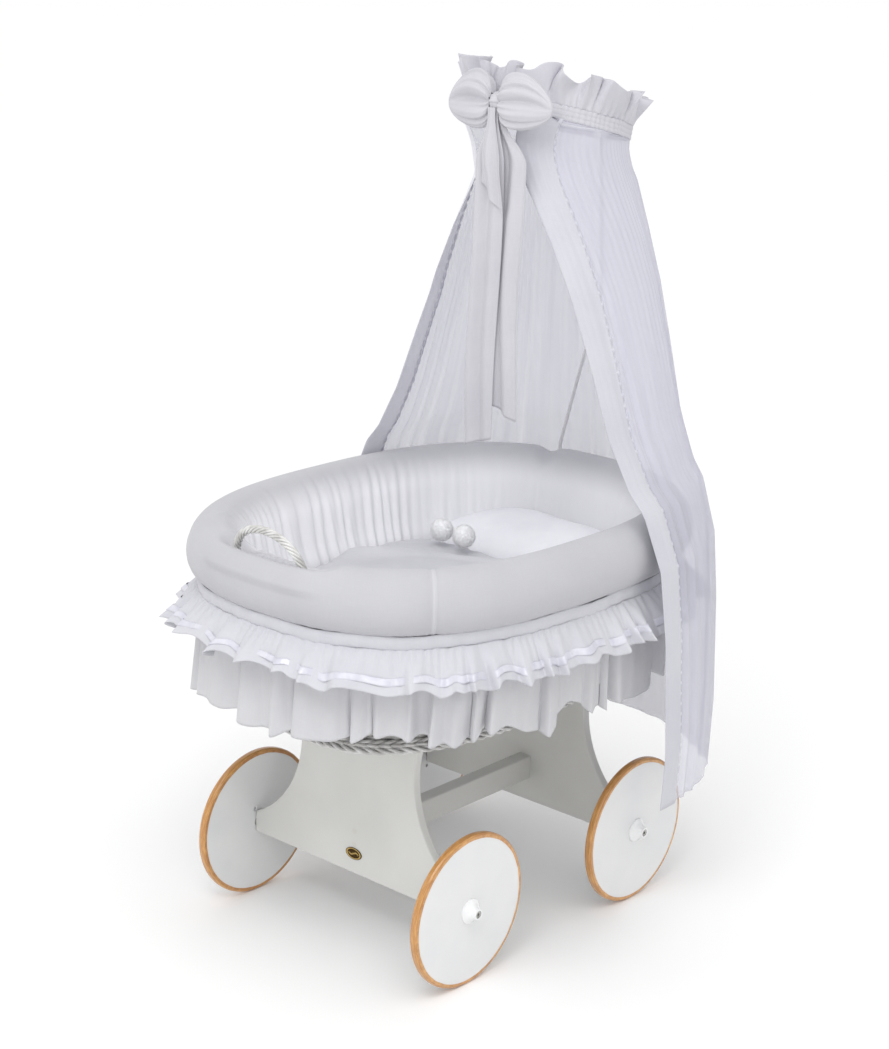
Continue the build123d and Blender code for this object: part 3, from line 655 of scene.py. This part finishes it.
# The inside face, from below the roll's inner edge, is painted much lighter than the roll: painted
# light that lifts the shade inside the basket. The seam is a pale line.
painted_light_lining = girth.clear(0.40, 0.47) * (1.0 - girth.clear(0.545, 0.605))
SEAM_HALF = 0.0045
off_seam = ((length - SEAM_S * RIM_LENGTH) * (1 / SEAM_HALF)).math("ABSOLUTE")
seam = (1.0 - off_seam).clear(0.0, 0.5)
shaded = bumper_cotton_painted_shading.mix(painted_light_lining, outer_shade, tint(240, 240, 243))
bumper_cotton_painted_shading.skin(Base_Color=bumper_cotton_painted_shading.mix(seam * 0.45, shaded, tint(206, 206, 210)))
fit(bumper, bumper_cotton_painted_shading, "basket", "cotton", "bumper_roll", "inner_lining")

# A soft white sleeve is tied over the rim inside the slit, between the handle's feet.
sleeve_t = np.linspace(0, 1, 60)[:, None]
sleeve_turn = np.linspace(0, 2 * np.pi, 24, endpoint=False)
SLEEVE_LONG, SLEEVE_OUT, SLEEVE_Z = 0.124, -0.013, 0.7470
sleeve_s = 0.5 + (sleeve_t - 0.5) * SLEEVE_LONG / RIM_LENGTH
thick = 0.0095 * np.sin(np.pi * np.clip(sleeve_t * 1.06 - 0.03, 0, 1)) ** 0.22
thick = thick * (1 + 0.08 * np.sin(46 * sleeve_t + 2 * np.sin(sleeve_turn)))
sleeve = surface("slit_sleeve", round_basket(
    sleeve_s, SLEEVE_OUT + thick * np.cos(sleeve_turn), SLEEVE_Z - thick * np.sin(sleeve_turn)),
    (0.13, 0.06), False, True)
frill_cotton = cotton("frill_cotton", tint(207, 207, 213), tint(199, 199, 206), 0.0009, 0.0022)
fit(sleeve, frill_cotton, "basket", "cotton_white")

# ------------------------------------------------------------------ frills
# A tape binds the roll's lower edge. Under it hang a short frill with a satin ribbon
# stitched on near its hem and a deep skirt, both gathered from strips of white cotton.


def as_cloth(piece, thickness=0.0009):
    """Give a sheet its thickness, half to each side."""
    wall = piece.modifiers.new("cloth", "SOLIDIFY")
    wall.thickness = thickness
    wall.offset = 0.0
    return piece


def pleat_turn(s, count, seed, sway=1.6):
    """Phase of irregular pleats: count turns round the oval, hurried and slowed at random."""
    return 2 * np.pi * count * s + sway * waves(s, range(3, 19, 2), seed)


band_s = (np.arange(700) / 700)[:, None]
band_v = np.linspace(0, 1, 9)
band_out = 0.0280 + 0.0020 * np.sin(np.pi * band_v) + 0.0009 * waves(band_s, range(40, 90, 7), 21)
TAPE_TOP, TAPE_WIDE = 0.6735, 0.023
band_z = TAPE_TOP - TAPE_WIDE * band_v + 0.0015 * waves(band_s, range(4, 20, 3), 22)
band = surface("binding_tape", round_basket(band_s, band_out, band_z), (2.62, 0.023), True)
fit(as_cloth(band, 0.0014), frill_cotton, "basket", "cotton_white", "binding_band")

# frill: (s, v) -> out grows from the tape to the hem, in pleats that open downwards
FRILL_TOP, FRILL_DROP = 0.6515, 0.064
frill_s = (np.arange(1500) / 1500)[:, None]
frill_v = np.linspace(0, 1, 26)


def frill_shape(s, v, lift=0.0):
    """The frill's points: out = slope + pleats cos(phase) that widen with v, fine gathers
    that die away with v, and a sideways sway that folds the pleats over."""
    turn = pleat_turn(s, 44, 31, 3.6)
    fine = pleat_turn(s, 150, 32, 3.0)
    size = 0.78 + 0.42 * waves(s, range(4, 40, 3), 33)
    open_out = np.clip(v, 0, 1) ** 1.15
    out = (0.0265 + 0.048 * v ** 0.85 + 0.0125 * size * np.cos(turn) * open_out
           + 0.0026 * np.sin(2 * turn + 1) * v
           + 0.0017 * np.cos(fine) * np.clip(1 - v * 1.1, 0, 1) * (v > 0.02) + lift)
    sway = 0.0062 * size * np.sin(turn + 2.2 * v) * open_out / RIM_LENGTH
    z = (FRILL_TOP - FRILL_DROP * v + 0.0055 * v * waves(s, range(9, 40, 5), 34)
         + 0.0045 * v * np.cos(turn + 0.6) + 0.012 * v * hump(s, 0.5, 0.10)
         + 0.004 * v * hump(s, 0.75, 0.1))
    return round_basket(s + sway, out, z)


frill = surface("frill", frill_shape(frill_s, frill_v), (3.3, 0.08), True)
fit(as_cloth(frill), frill_cotton, "basket", "cotton_white", "ruffle")

satin = Finish("white_satin", Sheen_Weight=0.1, IOR=1.5)
floats = satin.noise(satin.place("UV", scale=(60, 2600, 1)), 1.0, 2.0)
sheen = satin.noise(satin.place(), 60.0, 3.0)
satin.skin(
    Base_Color=satin.mix(sheen.clear(0.3, 0.7), tint(214, 214, 222), tint(203, 203, 215)),
    Roughness=0.22 + sheen * 0.16, Coat_Weight=0.25 + sheen * 0.2,
    Normal=satin.bump(floats, 0.0002, 0.5, satin.bump(sheen, 0.0012, 0.4)))
ribbon_v = np.linspace(0.60, 0.78, 6)
ribbon_lift = 0.0013 + 0.0013 * waves(frill_s, range(20, 90, 7), 35)
ribbon = surface("frill_ribbon", frill_shape(frill_s, ribbon_v, ribbon_lift), (3.3, 0.014), True)
fit(as_cloth(ribbon, 0.0005), satin, "basket", "satin", "ruffle_ribbon")

# skirt: deep pleats that hang from the tape, wide at the hem, which dips and lifts
skirt_s = (np.arange(1160) / 1160)[:, None]
skirt_v = np.linspace(0, 1, 36)
skirt_turn = pleat_turn(skirt_s, 27, 41, 4.2)
skirt_fine = pleat_turn(skirt_s, 118, 42, 3.0)
skirt_size = 0.72 + 0.42 * waves(skirt_s, range(3, 26, 3), 43)
fall = skirt_v ** 0.9
skirt_box = np.tanh(1.8 * np.cos(skirt_turn))
skirt_out = (0.0215 - 0.004 * skirt_v + 0.0150 * skirt_size * skirt_box * fall
             + 0.0060 * fall + 0.0030 * np.sin(2 * skirt_turn + 0.7) * skirt_v
             + 0.0015 * np.cos(skirt_fine) * (1 - skirt_v) ** 1.5
             + 0.0020 * waves(skirt_s, range(30, 70, 6), 44) * skirt_v)
skirt_out = skirt_out + 0.012 * hump(skirt_s, 0.36, 0.03) * np.sin(np.pi * skirt_v) ** 2
skirt_sway = 0.0095 * skirt_size * np.sin(skirt_turn + 1.2 * skirt_v) * fall / RIM_LENGTH
hem = (0.472 + 0.005 * np.cos(skirt_turn + np.pi) + 0.010 * waves(skirt_s, range(5, 21, 3), 45)
       + 0.036 * hump(skirt_s, 0.405, 0.032) + 0.016 * hump(skirt_s, 0.345, 0.02))
hem = np.clip(hem, 0.4545, 0.520)
SKIRT_TOP = 0.6545
skirt_z = SKIRT_TOP + (hem - SKIRT_TOP) * skirt_v
skirt_at = round_basket(skirt_s + skirt_sway, skirt_out, skirt_z)
skirt = surface("skirt_cloth", skirt_at, (2.9, 0.195), True)
skirt_cotton = cotton("skirt_cotton", tint(208, 208, 211), tint(201, 201, 205), 0.0009, 0.002)
fit(as_cloth(skirt), skirt_cotton, "basket", "cotton_white")
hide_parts("skirt")

# ------------------------------------------------------------------ bedding
# A foam mattress in a knitted ticking, a light duvet over it and a flat pillow,
# with two wool pom-poms on the duvet.


def bed_half_width(y, half=(0.352, 0.222)):
    """Half width of the oval bed at a distance y from its middle."""
    return half[1] * (1 - np.clip(np.abs(y) / half[0], 0, 1) ** OVAL_POWER) ** (1 / OVAL_POWER)


def pillow_form(name, y0, y1, low, high, half, rounding=0.5):
    """Closed form from y0 to y1: each cross-section is a superellipse as wide as the bed,
    from low to high(y), and the two ends close in a pole."""
    t = 0.5 - 0.5 * np.cos(np.linspace(0, np.pi, 61))[:, None]
    turn = np.linspace(0, 2 * np.pi, 72, endpoint=False)
    y = y0 + (y1 - y0) * t
    end = (1 - np.abs(2 * t - 1) ** 11) ** 0.5
    wide = np.minimum(bed_half_width(y, half), bed_half_width(y, half) * end + 1e-4)
    top = high(y)
    x = wide * bent(np.cos(turn), 0.55)
    lift = end * bent(np.sin(turn), rounding)
    middle = low + (top - low) * 0.5
    z = middle + (top - low) * 0.5 * lift
    place = np.stack([x, y + 0 * x + BASKET_MID_Y, z + 0 * x], -1)
    piece = surface(name, place[:, ::-1], (0.7, 0.9), False, True)
    shape = bmesh.new()
    shape.from_mesh(piece.data)
    bmesh.ops.remove_doubles(shape, verts=shape.verts, dist=0.0004)
    bmesh.ops.recalc_face_normals(shape, faces=shape.faces)
    shape.to_mesh(piece.data)
    shape.free()
    return piece


def plump(piece, voxel, pressure, cap):
    """Remesh, blow up as cloth for twenty frames, and hold each point within cap of its
    first place."""
    bpy.context.view_layer.objects.active = piece
    piece.data.remesh_voxel_size = voxel
    bpy.ops.object.select_all(action="DESELECT")
    piece.select_set(True)
    bpy.ops.object.voxel_remesh()
    count = len(piece.data.vertices)
    first = np.empty(count * 3, np.float32)
    piece.data.vertices.foreach_get("co", first)
    cloth = piece.modifiers.new("plump", "CLOTH")
    cloth.settings.use_pressure = True
    cloth.settings.uniform_pressure_force = pressure
    cloth.settings.effector_weights.gravity = 0.0
    cloth.settings.quality = 4
    cloth.settings.mass = 0.25
    for number in range(1, 21):
        scene.frame_set(number)
    bpy.ops.object.modifier_apply(modifier=cloth.name)
    scene.frame_set(1)
    moved = np.empty(count * 3, np.float32)
    piece.data.vertices.foreach_get("co", moved)
    shift = (moved - first).reshape(-1, 3)
    far = np.linalg.norm(shift, axis=1, keepdims=True)
    shift = shift * np.minimum(1, cap / np.maximum(far, 1e-9))
    return first.reshape(-1, 3) + shift


def reshape(piece, place):
    """Write back the points, smooth-shaded, with one subdivision."""
    piece.data.vertices.foreach_set("co", place.astype(np.float32).ravel())
    piece.data.polygons.foreach_set("use_smooth", np.ones(len(piece.data.polygons), bool))
    piece.data.update()
    smooth = piece.modifiers.new("round", "SUBSURF")
    smooth.levels = smooth.render_levels = 1
    return piece


def lumps(place, scale, seed, count=9):
    """Soft random hills over x and y: a sum of sines with random directions."""
    dice = np.random.default_rng(seed)
    total = 0
    for _ in range(count):
        a, b = dice.normal(size=2) * scale
        total = total + np.sin(place[:, 0] * a + place[:, 1] * b + dice.uniform(0, 6.3))
    return total / np.sqrt(count)


ticking = cotton("mattress_ticking", tint(238, 238, 236), tint(226, 226, 224), 0.002, 0.002)
mattress = pillow_form("mattress_pad", -0.324, 0.324, 0.4326, lambda y: 0.532 + 0 * y,
                       (0.322, 0.186), 0.25)
fit(mattress, ticking, "basket", "foam", "mattress")


def crumple(cloth_name, light, dark, wrinkle):
    """Cotton without UVs: its weave is read from where it lies."""
    cloth = Finish(cloth_name, Sheen_Weight=0.2, Sheen_Roughness=0.5, IOR=1.4)
    x, y, _ = cloth.axes(cloth.place())
    threads = (x * 6000.0).math("SINE") * (y * 6000.0).math("SINE")
    cloud = cloth.noise(cloth.place(), 8.0, 4.0)
    crush = cloth.noise(cloth.place(scale=(1, 0.5, 1)), 34.0, 5.0, 0.6)
    fine = cloth.noise(cloth.place(), 260.0, 3.0)
    cloth.skin(
        Base_Color=cloth.mix(cloud.clear(0.3, 0.7), light, dark),
        Roughness=0.78 + fine * 0.12,
        Normal=cloth.bump(threads * 0.5 + fine, 0.0002, 0.5, cloth.bump(crush, wrinkle, 0.6)))
    return cloth


# Duvet and pillow are one white cotton. The duvet's tint is darkened as painted shade, and the
# pillow's is lightened as painted light against the canopy's shadow.
duvet_cotton_painted_shade = crumple("duvet_cotton_painted_shade", tint(197, 197, 202), tint(188, 188, 194), 0.005)
pillow_cotton_painted_light = crumple("pillow_cotton_painted_light", tint(243, 243, 247), tint(235, 235, 240), 0.005)


BED_FLOOR, BED_HALF, BED_ROUNDING, BED_VOXEL = 0.536, (0.366, 0.232), 0.62, 0.0062
duvet = pillow_form("duvet_quilt", -0.362, 0.172, BED_FLOOR,
                    lambda y: 0.638 + 0.010 * np.sin(np.pi * np.clip((y + 0.36) / 0.5, 0, 1)),
                    BED_HALF, BED_ROUNDING)
place = plump(duvet, BED_VOXEL, 3.5, 0.012)
over = np.clip((place[:, 2] - 0.60) / 0.03, 0, 1)
place[:, 2] += over * 0.0046 * lumps(place, 24.0, 51)
# the folded corner: a soft ridge runs from the far edge to the pom-poms and on to the head
ridge_at = place[:, 1] - BASKET_MID_Y - 0.02 - 0.55 * (place[:, 0] + 0.05)
place[:, 2] += over * 0.011 * np.exp(-(ridge_at / 0.020) ** 2)
place[:, 2] -= over * 0.009 * np.exp(-((ridge_at - 0.03) / 0.013) ** 2)
place[:, 2] = np.minimum(place[:, 2], 0.6645)
reshape(duvet, place)
fit(duvet, duvet_cotton_painted_shade, "basket", "cotton_white", "duvet")

pillow = pillow_form("pillow_pad", 0.171, 0.352, BED_FLOOR,
                     lambda y: 0.652 + 0.032 * np.sin(
                         0.5 * np.pi * np.clip((y - 0.17) / 0.12, 0, 1)),
                     BED_HALF, BED_ROUNDING)
place = plump(pillow, BED_VOXEL, 4.0, 0.010)
over = np.clip((place[:, 2] - 0.62) / 0.04, 0, 1)
place[:, 2] += over * 0.0022 * lumps(place, 34.0, 52)
reshape(pillow, place)
fit(pillow, pillow_cotton_painted_light, "basket", "cotton_white", "pillow")

# Pom-poms: cut wool ends that stand out from a core all round, longer here and there.
# The wool glows faintly white: painted light that lifts the shade between the tufts.
wool = Finish("pompom_wool_glowing", Roughness=0.95, Sheen_Weight=0.6, Sheen_Roughness=0.6,
              Emission_Color=(1, 1, 1, 1), Emission_Strength=0.16)
tuft = wool.noise(wool.place(), 240.0, 4.0)
wool.skin(Base_Color=wool.mix(tuft.clear(0.3, 0.7), tint(250, 250, 252), tint(232, 233, 238)),
          Normal=wool.bump(tuft, 0.002, 0.8))
pom_low, pom_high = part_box("pompoms")
POM_R = (pom_high.z - pom_low.z) / 2
TUFTS, TUFT_WIDE, GOLDEN_TURN = 5200, 0.0011, 2.399963
for number, x in enumerate((pom_low.x + POM_R, pom_high.x - POM_R)):
    dice = np.random.default_rng(60 + number)
    middle = np.array([x, (pom_low.y + pom_high.y) / 2, pom_low.z + POM_R])
    k = np.arange(TUFTS)
    tip_z = 1 - 2 * (k + 0.5) / len(k)
    tip_turn = k * GOLDEN_TURN
    level = np.sqrt(1 - tip_z ** 2)
    way = np.stack([level * np.cos(tip_turn), level * np.sin(tip_turn), tip_z], -1)
    way += dice.normal(scale=0.07, size=way.shape)
    way /= np.linalg.norm(way, axis=1, keepdims=True)
    aside = np.cross(way, dice.normal(size=way.shape))
    aside /= np.linalg.norm(aside, axis=1, keepdims=True)
    third = np.cross(way, aside)
    long = POM_R * (0.90 + 0.17 * dice.random(len(k)))[:, None]
    root = middle + way * POM_R * 0.72
    corners = np.stack([root + aside * TUFT_WIDE,
                        root - 0.5 * TUFT_WIDE * aside + 0.87 * TUFT_WIDE * third,
                        root - 0.5 * TUFT_WIDE * aside - 0.87 * TUFT_WIDE * third,
                        middle + way * long + aside * 0.0012 * dice.normal(size=long.shape)], 1)
    spikes = np.array([(0, 1, 3), (1, 2, 3), (2, 0, 3), (2, 1, 0)])
    faces = (k[:, None, None] * 4 + spikes).reshape(-1, 3)
    lat = np.linspace(0.02, np.pi - 0.02, 15)[:, None]
    lon = np.linspace(0, 2 * np.pi, 24, endpoint=False)
    core = middle + POM_R * 0.84 * np.stack(
        [np.sin(lat) * np.cos(lon), np.sin(lat) * np.sin(lon), np.cos(lat) + 0 * lon], -1)
    core_faces, _ = grid(core, (1, 1), False, True)
    everything = np.concatenate([corners.reshape(-1, 3), core.reshape(-1, 3)])
    all_faces = faces.tolist() + (core_faces[:, ::-1] + len(k) * 4).tolist()
    pompom = join(f"pompom_{number + 1}", everything, all_faces)
    fit(pompom, wool, "basket", "fluff")
    if number == 0:
        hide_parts("pompoms")

# ------------------------------------------------------------------ canopy frame
# A white-lacquered steel rod stands in a socket on the wall and carries an oval wire
# hoop in a small moulded connector.
wire_paint = lacquer("wire_paint", tint(222, 222, 224), tint(208, 208, 210), 0.35)
coat(wire_paint, "canopy_rod", "canopy_ring", "rod_socket", "ring_connector")

# ------------------------------------------------------------------ canopy cloth
# One wide piece of fine voile, gathered on a flat tucked band round the hoop: above it
# the heading stands up as a frill, below it the veil falls open at the foot end, with
# an opaque border and a threaded ribbon along each front edge.
RING_MID = np.array([0.0, BASKET_MID_Y + 0.232, 1.440])
RING_TILT = np.radians(12.9)
RING_HALF = (0.126, 0.176)


def crown(turn, out, rise):
    """Point of the tilted crown oval: turn from the head end, by the right side; out from
    the hoop wire, rise square to its plane."""
    turn, out, rise = np.broadcast_arrays(turn, out, rise)
    x = (RING_HALF[0] + out) * np.sin(turn)
    y = (RING_HALF[1] + out) * np.cos(turn)
    return RING_MID + np.stack([x, y * np.cos(RING_TILT) + rise * np.sin(RING_TILT),
                                rise * np.cos(RING_TILT) - y * np.sin(RING_TILT)], -1)


def pleats_round(turn, count, seed, sway=1.4):
    """Phase of irregular pleats round the crown."""
    return pleat_turn(turn / (2 * np.pi), count, seed, sway)


crown_cotton = cotton("crown_cotton", tint(205, 204, 210), tint(197, 196, 204), 0.0008, 0.0018,
                      sheen=0.15)
crown_turn = (np.arange(900) / 900 * 2 * np.pi)[:, None]
crown_s = crown_turn / 6.2832
band_v = np.linspace(0, 1, 22)
tucks = 0.0011 * np.abs(np.sin(3 * np.pi * band_v)) ** 0.6
band_out = (0.0042 + tucks + 0.0005 * np.sin(pleats_round(crown_turn, 90, 71))
            + 0.0010 * waves(crown_s, range(3, 14, 2), 70))
crown_band = surface("crown_band_tucks", crown(crown_turn, band_out, 0.0125 - 0.025 * band_v),
                     (0.98, 0.027), True)
fit(as_cloth(crown_band, 0.0012), crown_cotton, "canopy", "cotton_white", "crown_band")

# heading frill: rises and flares, fine gathers at the band, big soft waves at its edge
head_v = np.linspace(1, 0, 30)
head_turn = pleats_round(crown_turn, 12, 72, 2.2)
head_fine = pleats_round(crown_turn, 62, 73, 2.0)
head_size = 0.95 + 0.3 * waves(crown_s, range(2, 9), 74)
rise = (0.0120 + 0.064 * head_v
        + head_v ** 1.4 * (0.0080 * waves(crown_s, range(4, 17, 2), 75) - 0.010))
head_out = (0.0035 + 0.012 * head_v ** 0.8 + 0.0130 * head_size * np.cos(head_turn) * head_v ** 1.1
            + 0.0050 * np.sin(2 * head_turn + 0.5) * head_v
            + 0.0022 * np.cos(head_fine) * np.exp(-4.5 * head_v))
head_out = np.where(head_v < 0.2, np.maximum(head_out, 0.0035), head_out)
head_sway = 0.080 * head_size * np.sin(head_turn + 2.0 * head_v) * head_v
heading = surface("crown_frill", crown(crown_turn + head_sway, head_out, rise), (1.25, 0.078), True)
fit(as_cloth(heading), crown_cotton, "canopy", "cotton_white", "crown_ruffle")

# veil: (u, v) -> from the crown oval, turn HALF_TURN u, to the hem oval outside the rim
HALF_TURN = 2.72
HALF_HEM = 0.655
HEM_ROUND = 3.124
HEM_OUT = 0.094
DRAWN_IN = (0.034, 0.030, 0.0)
drop_z = np.array([0.22, 0.25, 0.375, 0.58, 0.705, 0.80, 0.835, 0.92, 1.04, 1.155, 1.245,
                   1.345, 1.46])
drop_w = np.array([1.03, 1.03, 1.04, 1.0, 0.949, 0.838, 0.750, 0.623, 0.500, 0.373, 0.247,
                   0.078, -0.06])


def veil(u, v, lift=0.0):
    """Between the crown and the hem oval by the profile w(z) that gravity gives it, with
    pleats that leave the band fine and run together into broad ones, drawn in at the left."""
    u, v = np.broadcast_arrays(u, v)
    top = crown(HALF_TURN * u, 0.0040, -0.0115)
    hem_z = 0.243 + 0.030 * np.abs(u) ** 3 + 0.006 * np.sin(9 * u + 1)
    z = top[..., 2] + (hem_z - top[..., 2]) * v
    w = np.interp(z, drop_z, drop_w)
    w = np.where(v < 0.06, w * (v / 0.06), w)
    w = w - np.interp(top[..., 2], drop_z, drop_w) * np.clip(1 - v / 0.06, 0, 1) * (v > 0)
    w = np.clip(w, 0, 1.05)
    foot = round_basket(HALF_HEM * u / HEM_ROUND, HEM_OUT, z)
    place = top + (foot - top) * w[..., None]
    place[..., 2] = z
    fine = 2 * np.pi * 34 * u + 4.0 * waves(u / 3.0, range(2, 12), 81)
    broad = 2 * np.pi * 9.5 * u + 3.4 * waves(u / 3.0, range(2, 9), 82)
    calm = 0.55 + 0.55 * waves(u / 3.0, range(3, 14, 2), 83)
    wave = (0.0010 * np.cos(fine) * np.exp(-3.0 * v) * np.clip(v * 12, 0, 1)
            + 0.0052 * calm * np.cos(broad + 0.8 * v) * np.clip(v * 1.6, 0, 1)
            + 0.0016 * calm * np.cos(2.1 * broad + 2 * v) * np.clip(v * 2, 0, 1))
    away = foot - top
    away[..., 2] = 0
    away /= np.linalg.norm(away, axis=-1, keepdims=True) + 1e-9
    place = place + away * (wave + lift)[..., None]
    left = np.clip((-u - 0.25) / 0.45, 0, 1)
    drawn = left * left * (3 - 2 * left) * np.clip(v / 0.10, 0, 1) * (1 - 0.85 * np.clip(
        (v - 0.30) / 0.60, 0, 1))
    return place + drawn[..., None] * np.array(DRAWN_IN)


BORDER_WIDE, BORDER_LONG = 0.066, 1.24
LACE_HALF = 0.0039


def veil_edge(v):
    """Share of u that the border's width takes up at drop v."""
    return BORDER_WIDE / (0.40 + (HALF_HEM + 0.12 - 0.40) * np.clip(v * 1.25, 0, 1))


voile = Finish("voile", Roughness=0.8, Sheen_Weight=0.15, IOR=1.3)
net_u, net_v, _ = voile.axes(voile.place("UV"))
net = (net_u * 4200.0).math("SINE") * (net_v * 4200.0).math("SINE")
streak = voile.noise(voile.place("UV", scale=(70, 1.6, 1)), 1.0, 4.0, 0.6)
drift = voile.noise(voile.place("UV", scale=(12, 2.0, 1)), 1.0, 3.0)
voile.skin(
    Base_Color=voile.mix(streak.clear(0.3, 0.7), tint(228, 228, 239), tint(218, 218, 232)),
    Alpha=0.26 + streak * 0.16 + drift * 0.12,
    Normal=voile.bump(net * 0.3 + streak, 0.0012, 0.5))
veil_v = np.linspace(0, 1, 112) ** 1.05
veil_u = np.linspace(-1, 1, 430)[:, None]
inner_u = veil_u * (1 - veil_edge(veil_v))
curtain = surface("veil", veil(inner_u, veil_v), (1.3, 1.27))
fit(as_cloth(curtain, 0.0006), voile, "canopy", "sheer", "curtain")

border_cottons = (
    cotton("border_cotton", tint(205, 205, 212), tint(197, 197, 206), 0.0008, 0.002),
    cotton("border_cotton_far_painted_light", tint(222, 222, 228), tint(214, 214, 221), 0.0008, 0.002))
# The left border's cotton is tinted lighter and glows faintly: painted light that lifts its shade
# inside the canopy.
border_cottons[1].skin(Emission_Color=(0.93, 0.93, 1.0, 1.0), Emission_Strength=0.06)
border_w = np.linspace(0, 1, 26)[:, None]
for hand, sign in (("right", 1), ("left", -1)):
    edge = veil_edge(veil_v)
    u = sign * (1 - edge * (1 - border_w) * 1.02)
    place = veil(u, veil_v, 0.0016 * np.sin(np.pi * border_w) + 0.0030)
    if sign < 0:
        place = place[::-1]
    strip = surface("veil_border_" + hand, place, (BORDER_WIDE, BORDER_LONG))
    fit(as_cloth(strip, 0.0010), border_cottons[sign < 0], "canopy", "cotton_white",
        "curtain_border_" + hand)
    # ribbon threaded in and out along the seam between voile and border
    lace_v = np.linspace(0.0, 0.995, 900)
    lace_w = np.linspace(-1, 1, 4)[:, None]
    lace_edge = veil_edge(lace_v)
    half = LACE_HALF / BORDER_WIDE
    u = sign * (1 - lace_edge * (1 - half * lace_w))
    bead = 0.0022 + 0.0014 * np.sin(2 * np.pi * lace_v * 62)
    place = veil(u, lace_v, bead)
    if sign < 0:
        place = place[::-1]
    lace = surface("border_ribbon_" + hand, place, (0.0105, BORDER_LONG))
    fit(as_cloth(lace, 0.0005), satin, "canopy", "satin")

# ------------------------------------------------------------------ bow
# A stuffed cotton bow: two puffed loops with creases running into a tight knot, tied at
# the front of the crown, and long tails that hang straight down from it.
knot_low, knot_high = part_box("bow_knot")
KNOT = np.array((knot_low + knot_high) / 2)
KNOT_HALF = (0.0135, 0.0145, 0.0155)
bow_cotton = cotton("bow_cotton", tint(201, 200, 205), tint(192, 191, 198), 0.0008, 0.0016)
lat = np.linspace(0.0, np.pi, 40)[:, None]
lon = np.linspace(0, 2 * np.pi, 72, endpoint=False)
ribs = 1 + 0.07 * np.sin(9 * lon + 0.6) * np.sin(lat) ** 0.5 + 0.03 * np.sin(17 * lon)
knot = np.stack([KNOT_HALF[0] * bent(np.cos(lat), 0.8) + 0 * lon,
                 -KNOT_HALF[1] * np.sin(lat) ** 0.7 * np.cos(lon) * ribs,
                 KNOT_HALF[2] * np.sin(lat) ** 0.7 * np.sin(lon) * ribs], -1) + KNOT
bow_knot = surface("bow_knot_wrap", knot, (0.05, 0.1), False, True)
fit(bow_knot, bow_cotton, "canopy", "cotton_white", "bow_knot")

LOOP_ROOT = 0.010
loop_t = np.linspace(0, 1, 90)[:, None]
loop_turn = np.linspace(0, 2 * np.pi, 160, endpoint=False)
for name, sign, reach, tall, tip in (("left", -1, 0.107, 0.048, 0.010),
                                     ("right", 1, 0.121, 0.046, 0.004)):
    swell = bent(np.sin(np.pi * loop_t ** 0.90), 0.50)
    mouth = 0.0135 * (1 - loop_t) ** 3
    tall_t = tall * swell * (1 - 0.06 * loop_t) + mouth
    deep_t = 0.0165 * swell * (1 - 0.25 * loop_t) + mouth * 0.6
    crease = (0.10 * np.cos(7 * loop_turn + 0.5 * sign) + 0.08 * np.cos(13 * loop_turn + 1.3)
              + 0.05 * np.cos(21 * loop_turn)) * np.exp(-1.5 * loop_t)
    fold = -0.30 * np.exp(-(((loop_turn - np.pi) / 0.22) ** 2)) * np.sin(np.pi * loop_t) ** 0.7
    fold = fold - 0.22 * np.exp(-(((loop_turn - 2.35 - 0.3 * sign) / 0.16) ** 2)) * np.sin(
        np.pi * loop_t)
    x = sign * (LOOP_ROOT + (reach - LOOP_ROOT) * loop_t)
    y = -0.0035 + deep_t * np.cos(loop_turn) * (1 + crease * 2 + fold * 2)
    z = (tall_t * np.sin(loop_turn) * (1 + crease * 0.5) - tip * loop_t
         + 0.006 * np.sin(np.pi * loop_t))
    x = x + 0.006 * sign * np.cos(2 * loop_turn) * np.sin(np.pi * loop_t)
    place = np.stack([x + 0 * z, y, z], -1) + KNOT
    loop = surface("bow_loop_" + name, place if sign < 0 else place[:, ::-1], (0.13, 0.26),
                   False, True)
    fit(loop, bow_cotton, "canopy", "cotton_white")
    if sign < 0:
        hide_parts("bow_loops")

TAIL_ROOT = 0.008
tail_v = np.linspace(0, 1, 120)
tail_u = np.linspace(-1, 1, 40)[:, None]
for number, (middle, back, bottom, wide, cut) in enumerate((
        (-0.006, -0.008, 0.888, 0.029, 0.010), (0.036, 0.000, 0.946, 0.027, -0.012),
        (0.004, -0.017, 1.318, 0.024, -0.026))):
    top_z = KNOT[2] - 0.009
    end_z = bottom + cut * tail_u
    z = top_z + (end_z - top_z) * tail_v
    fallen = top_z - z
    spread = np.clip((fallen - 0.01) / 0.085, 0, 1)
    spread = spread * spread * (3 - 2 * spread)
    half = TAIL_ROOT + (wide - TAIL_ROOT) * spread
    x = KNOT[0] + middle * spread + half * tail_u + 0.004 * np.sin(7 * tail_v + number) * tail_v
    curl = (0.0050 * np.cos(4.6 * tail_u + 1.4 * number + 1.2 * np.sin(3 * tail_v))
            * (0.35 + 0.65 * spread) + 0.004 * tail_v * np.sin(5 * tail_v + number))
    y = KNOT[1] + back + curl + 0 * tail_v
    tail = surface(f"bow_tail_{number + 1}", np.stack([x, y, z], -1)[:, ::-1][::-1],
                   (2 * wide, top_z - bottom))
    fit(as_cloth(tail, 0.0009), bow_cotton, "canopy", "cotton_white")
    if number == 0:
        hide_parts("bow_tails")
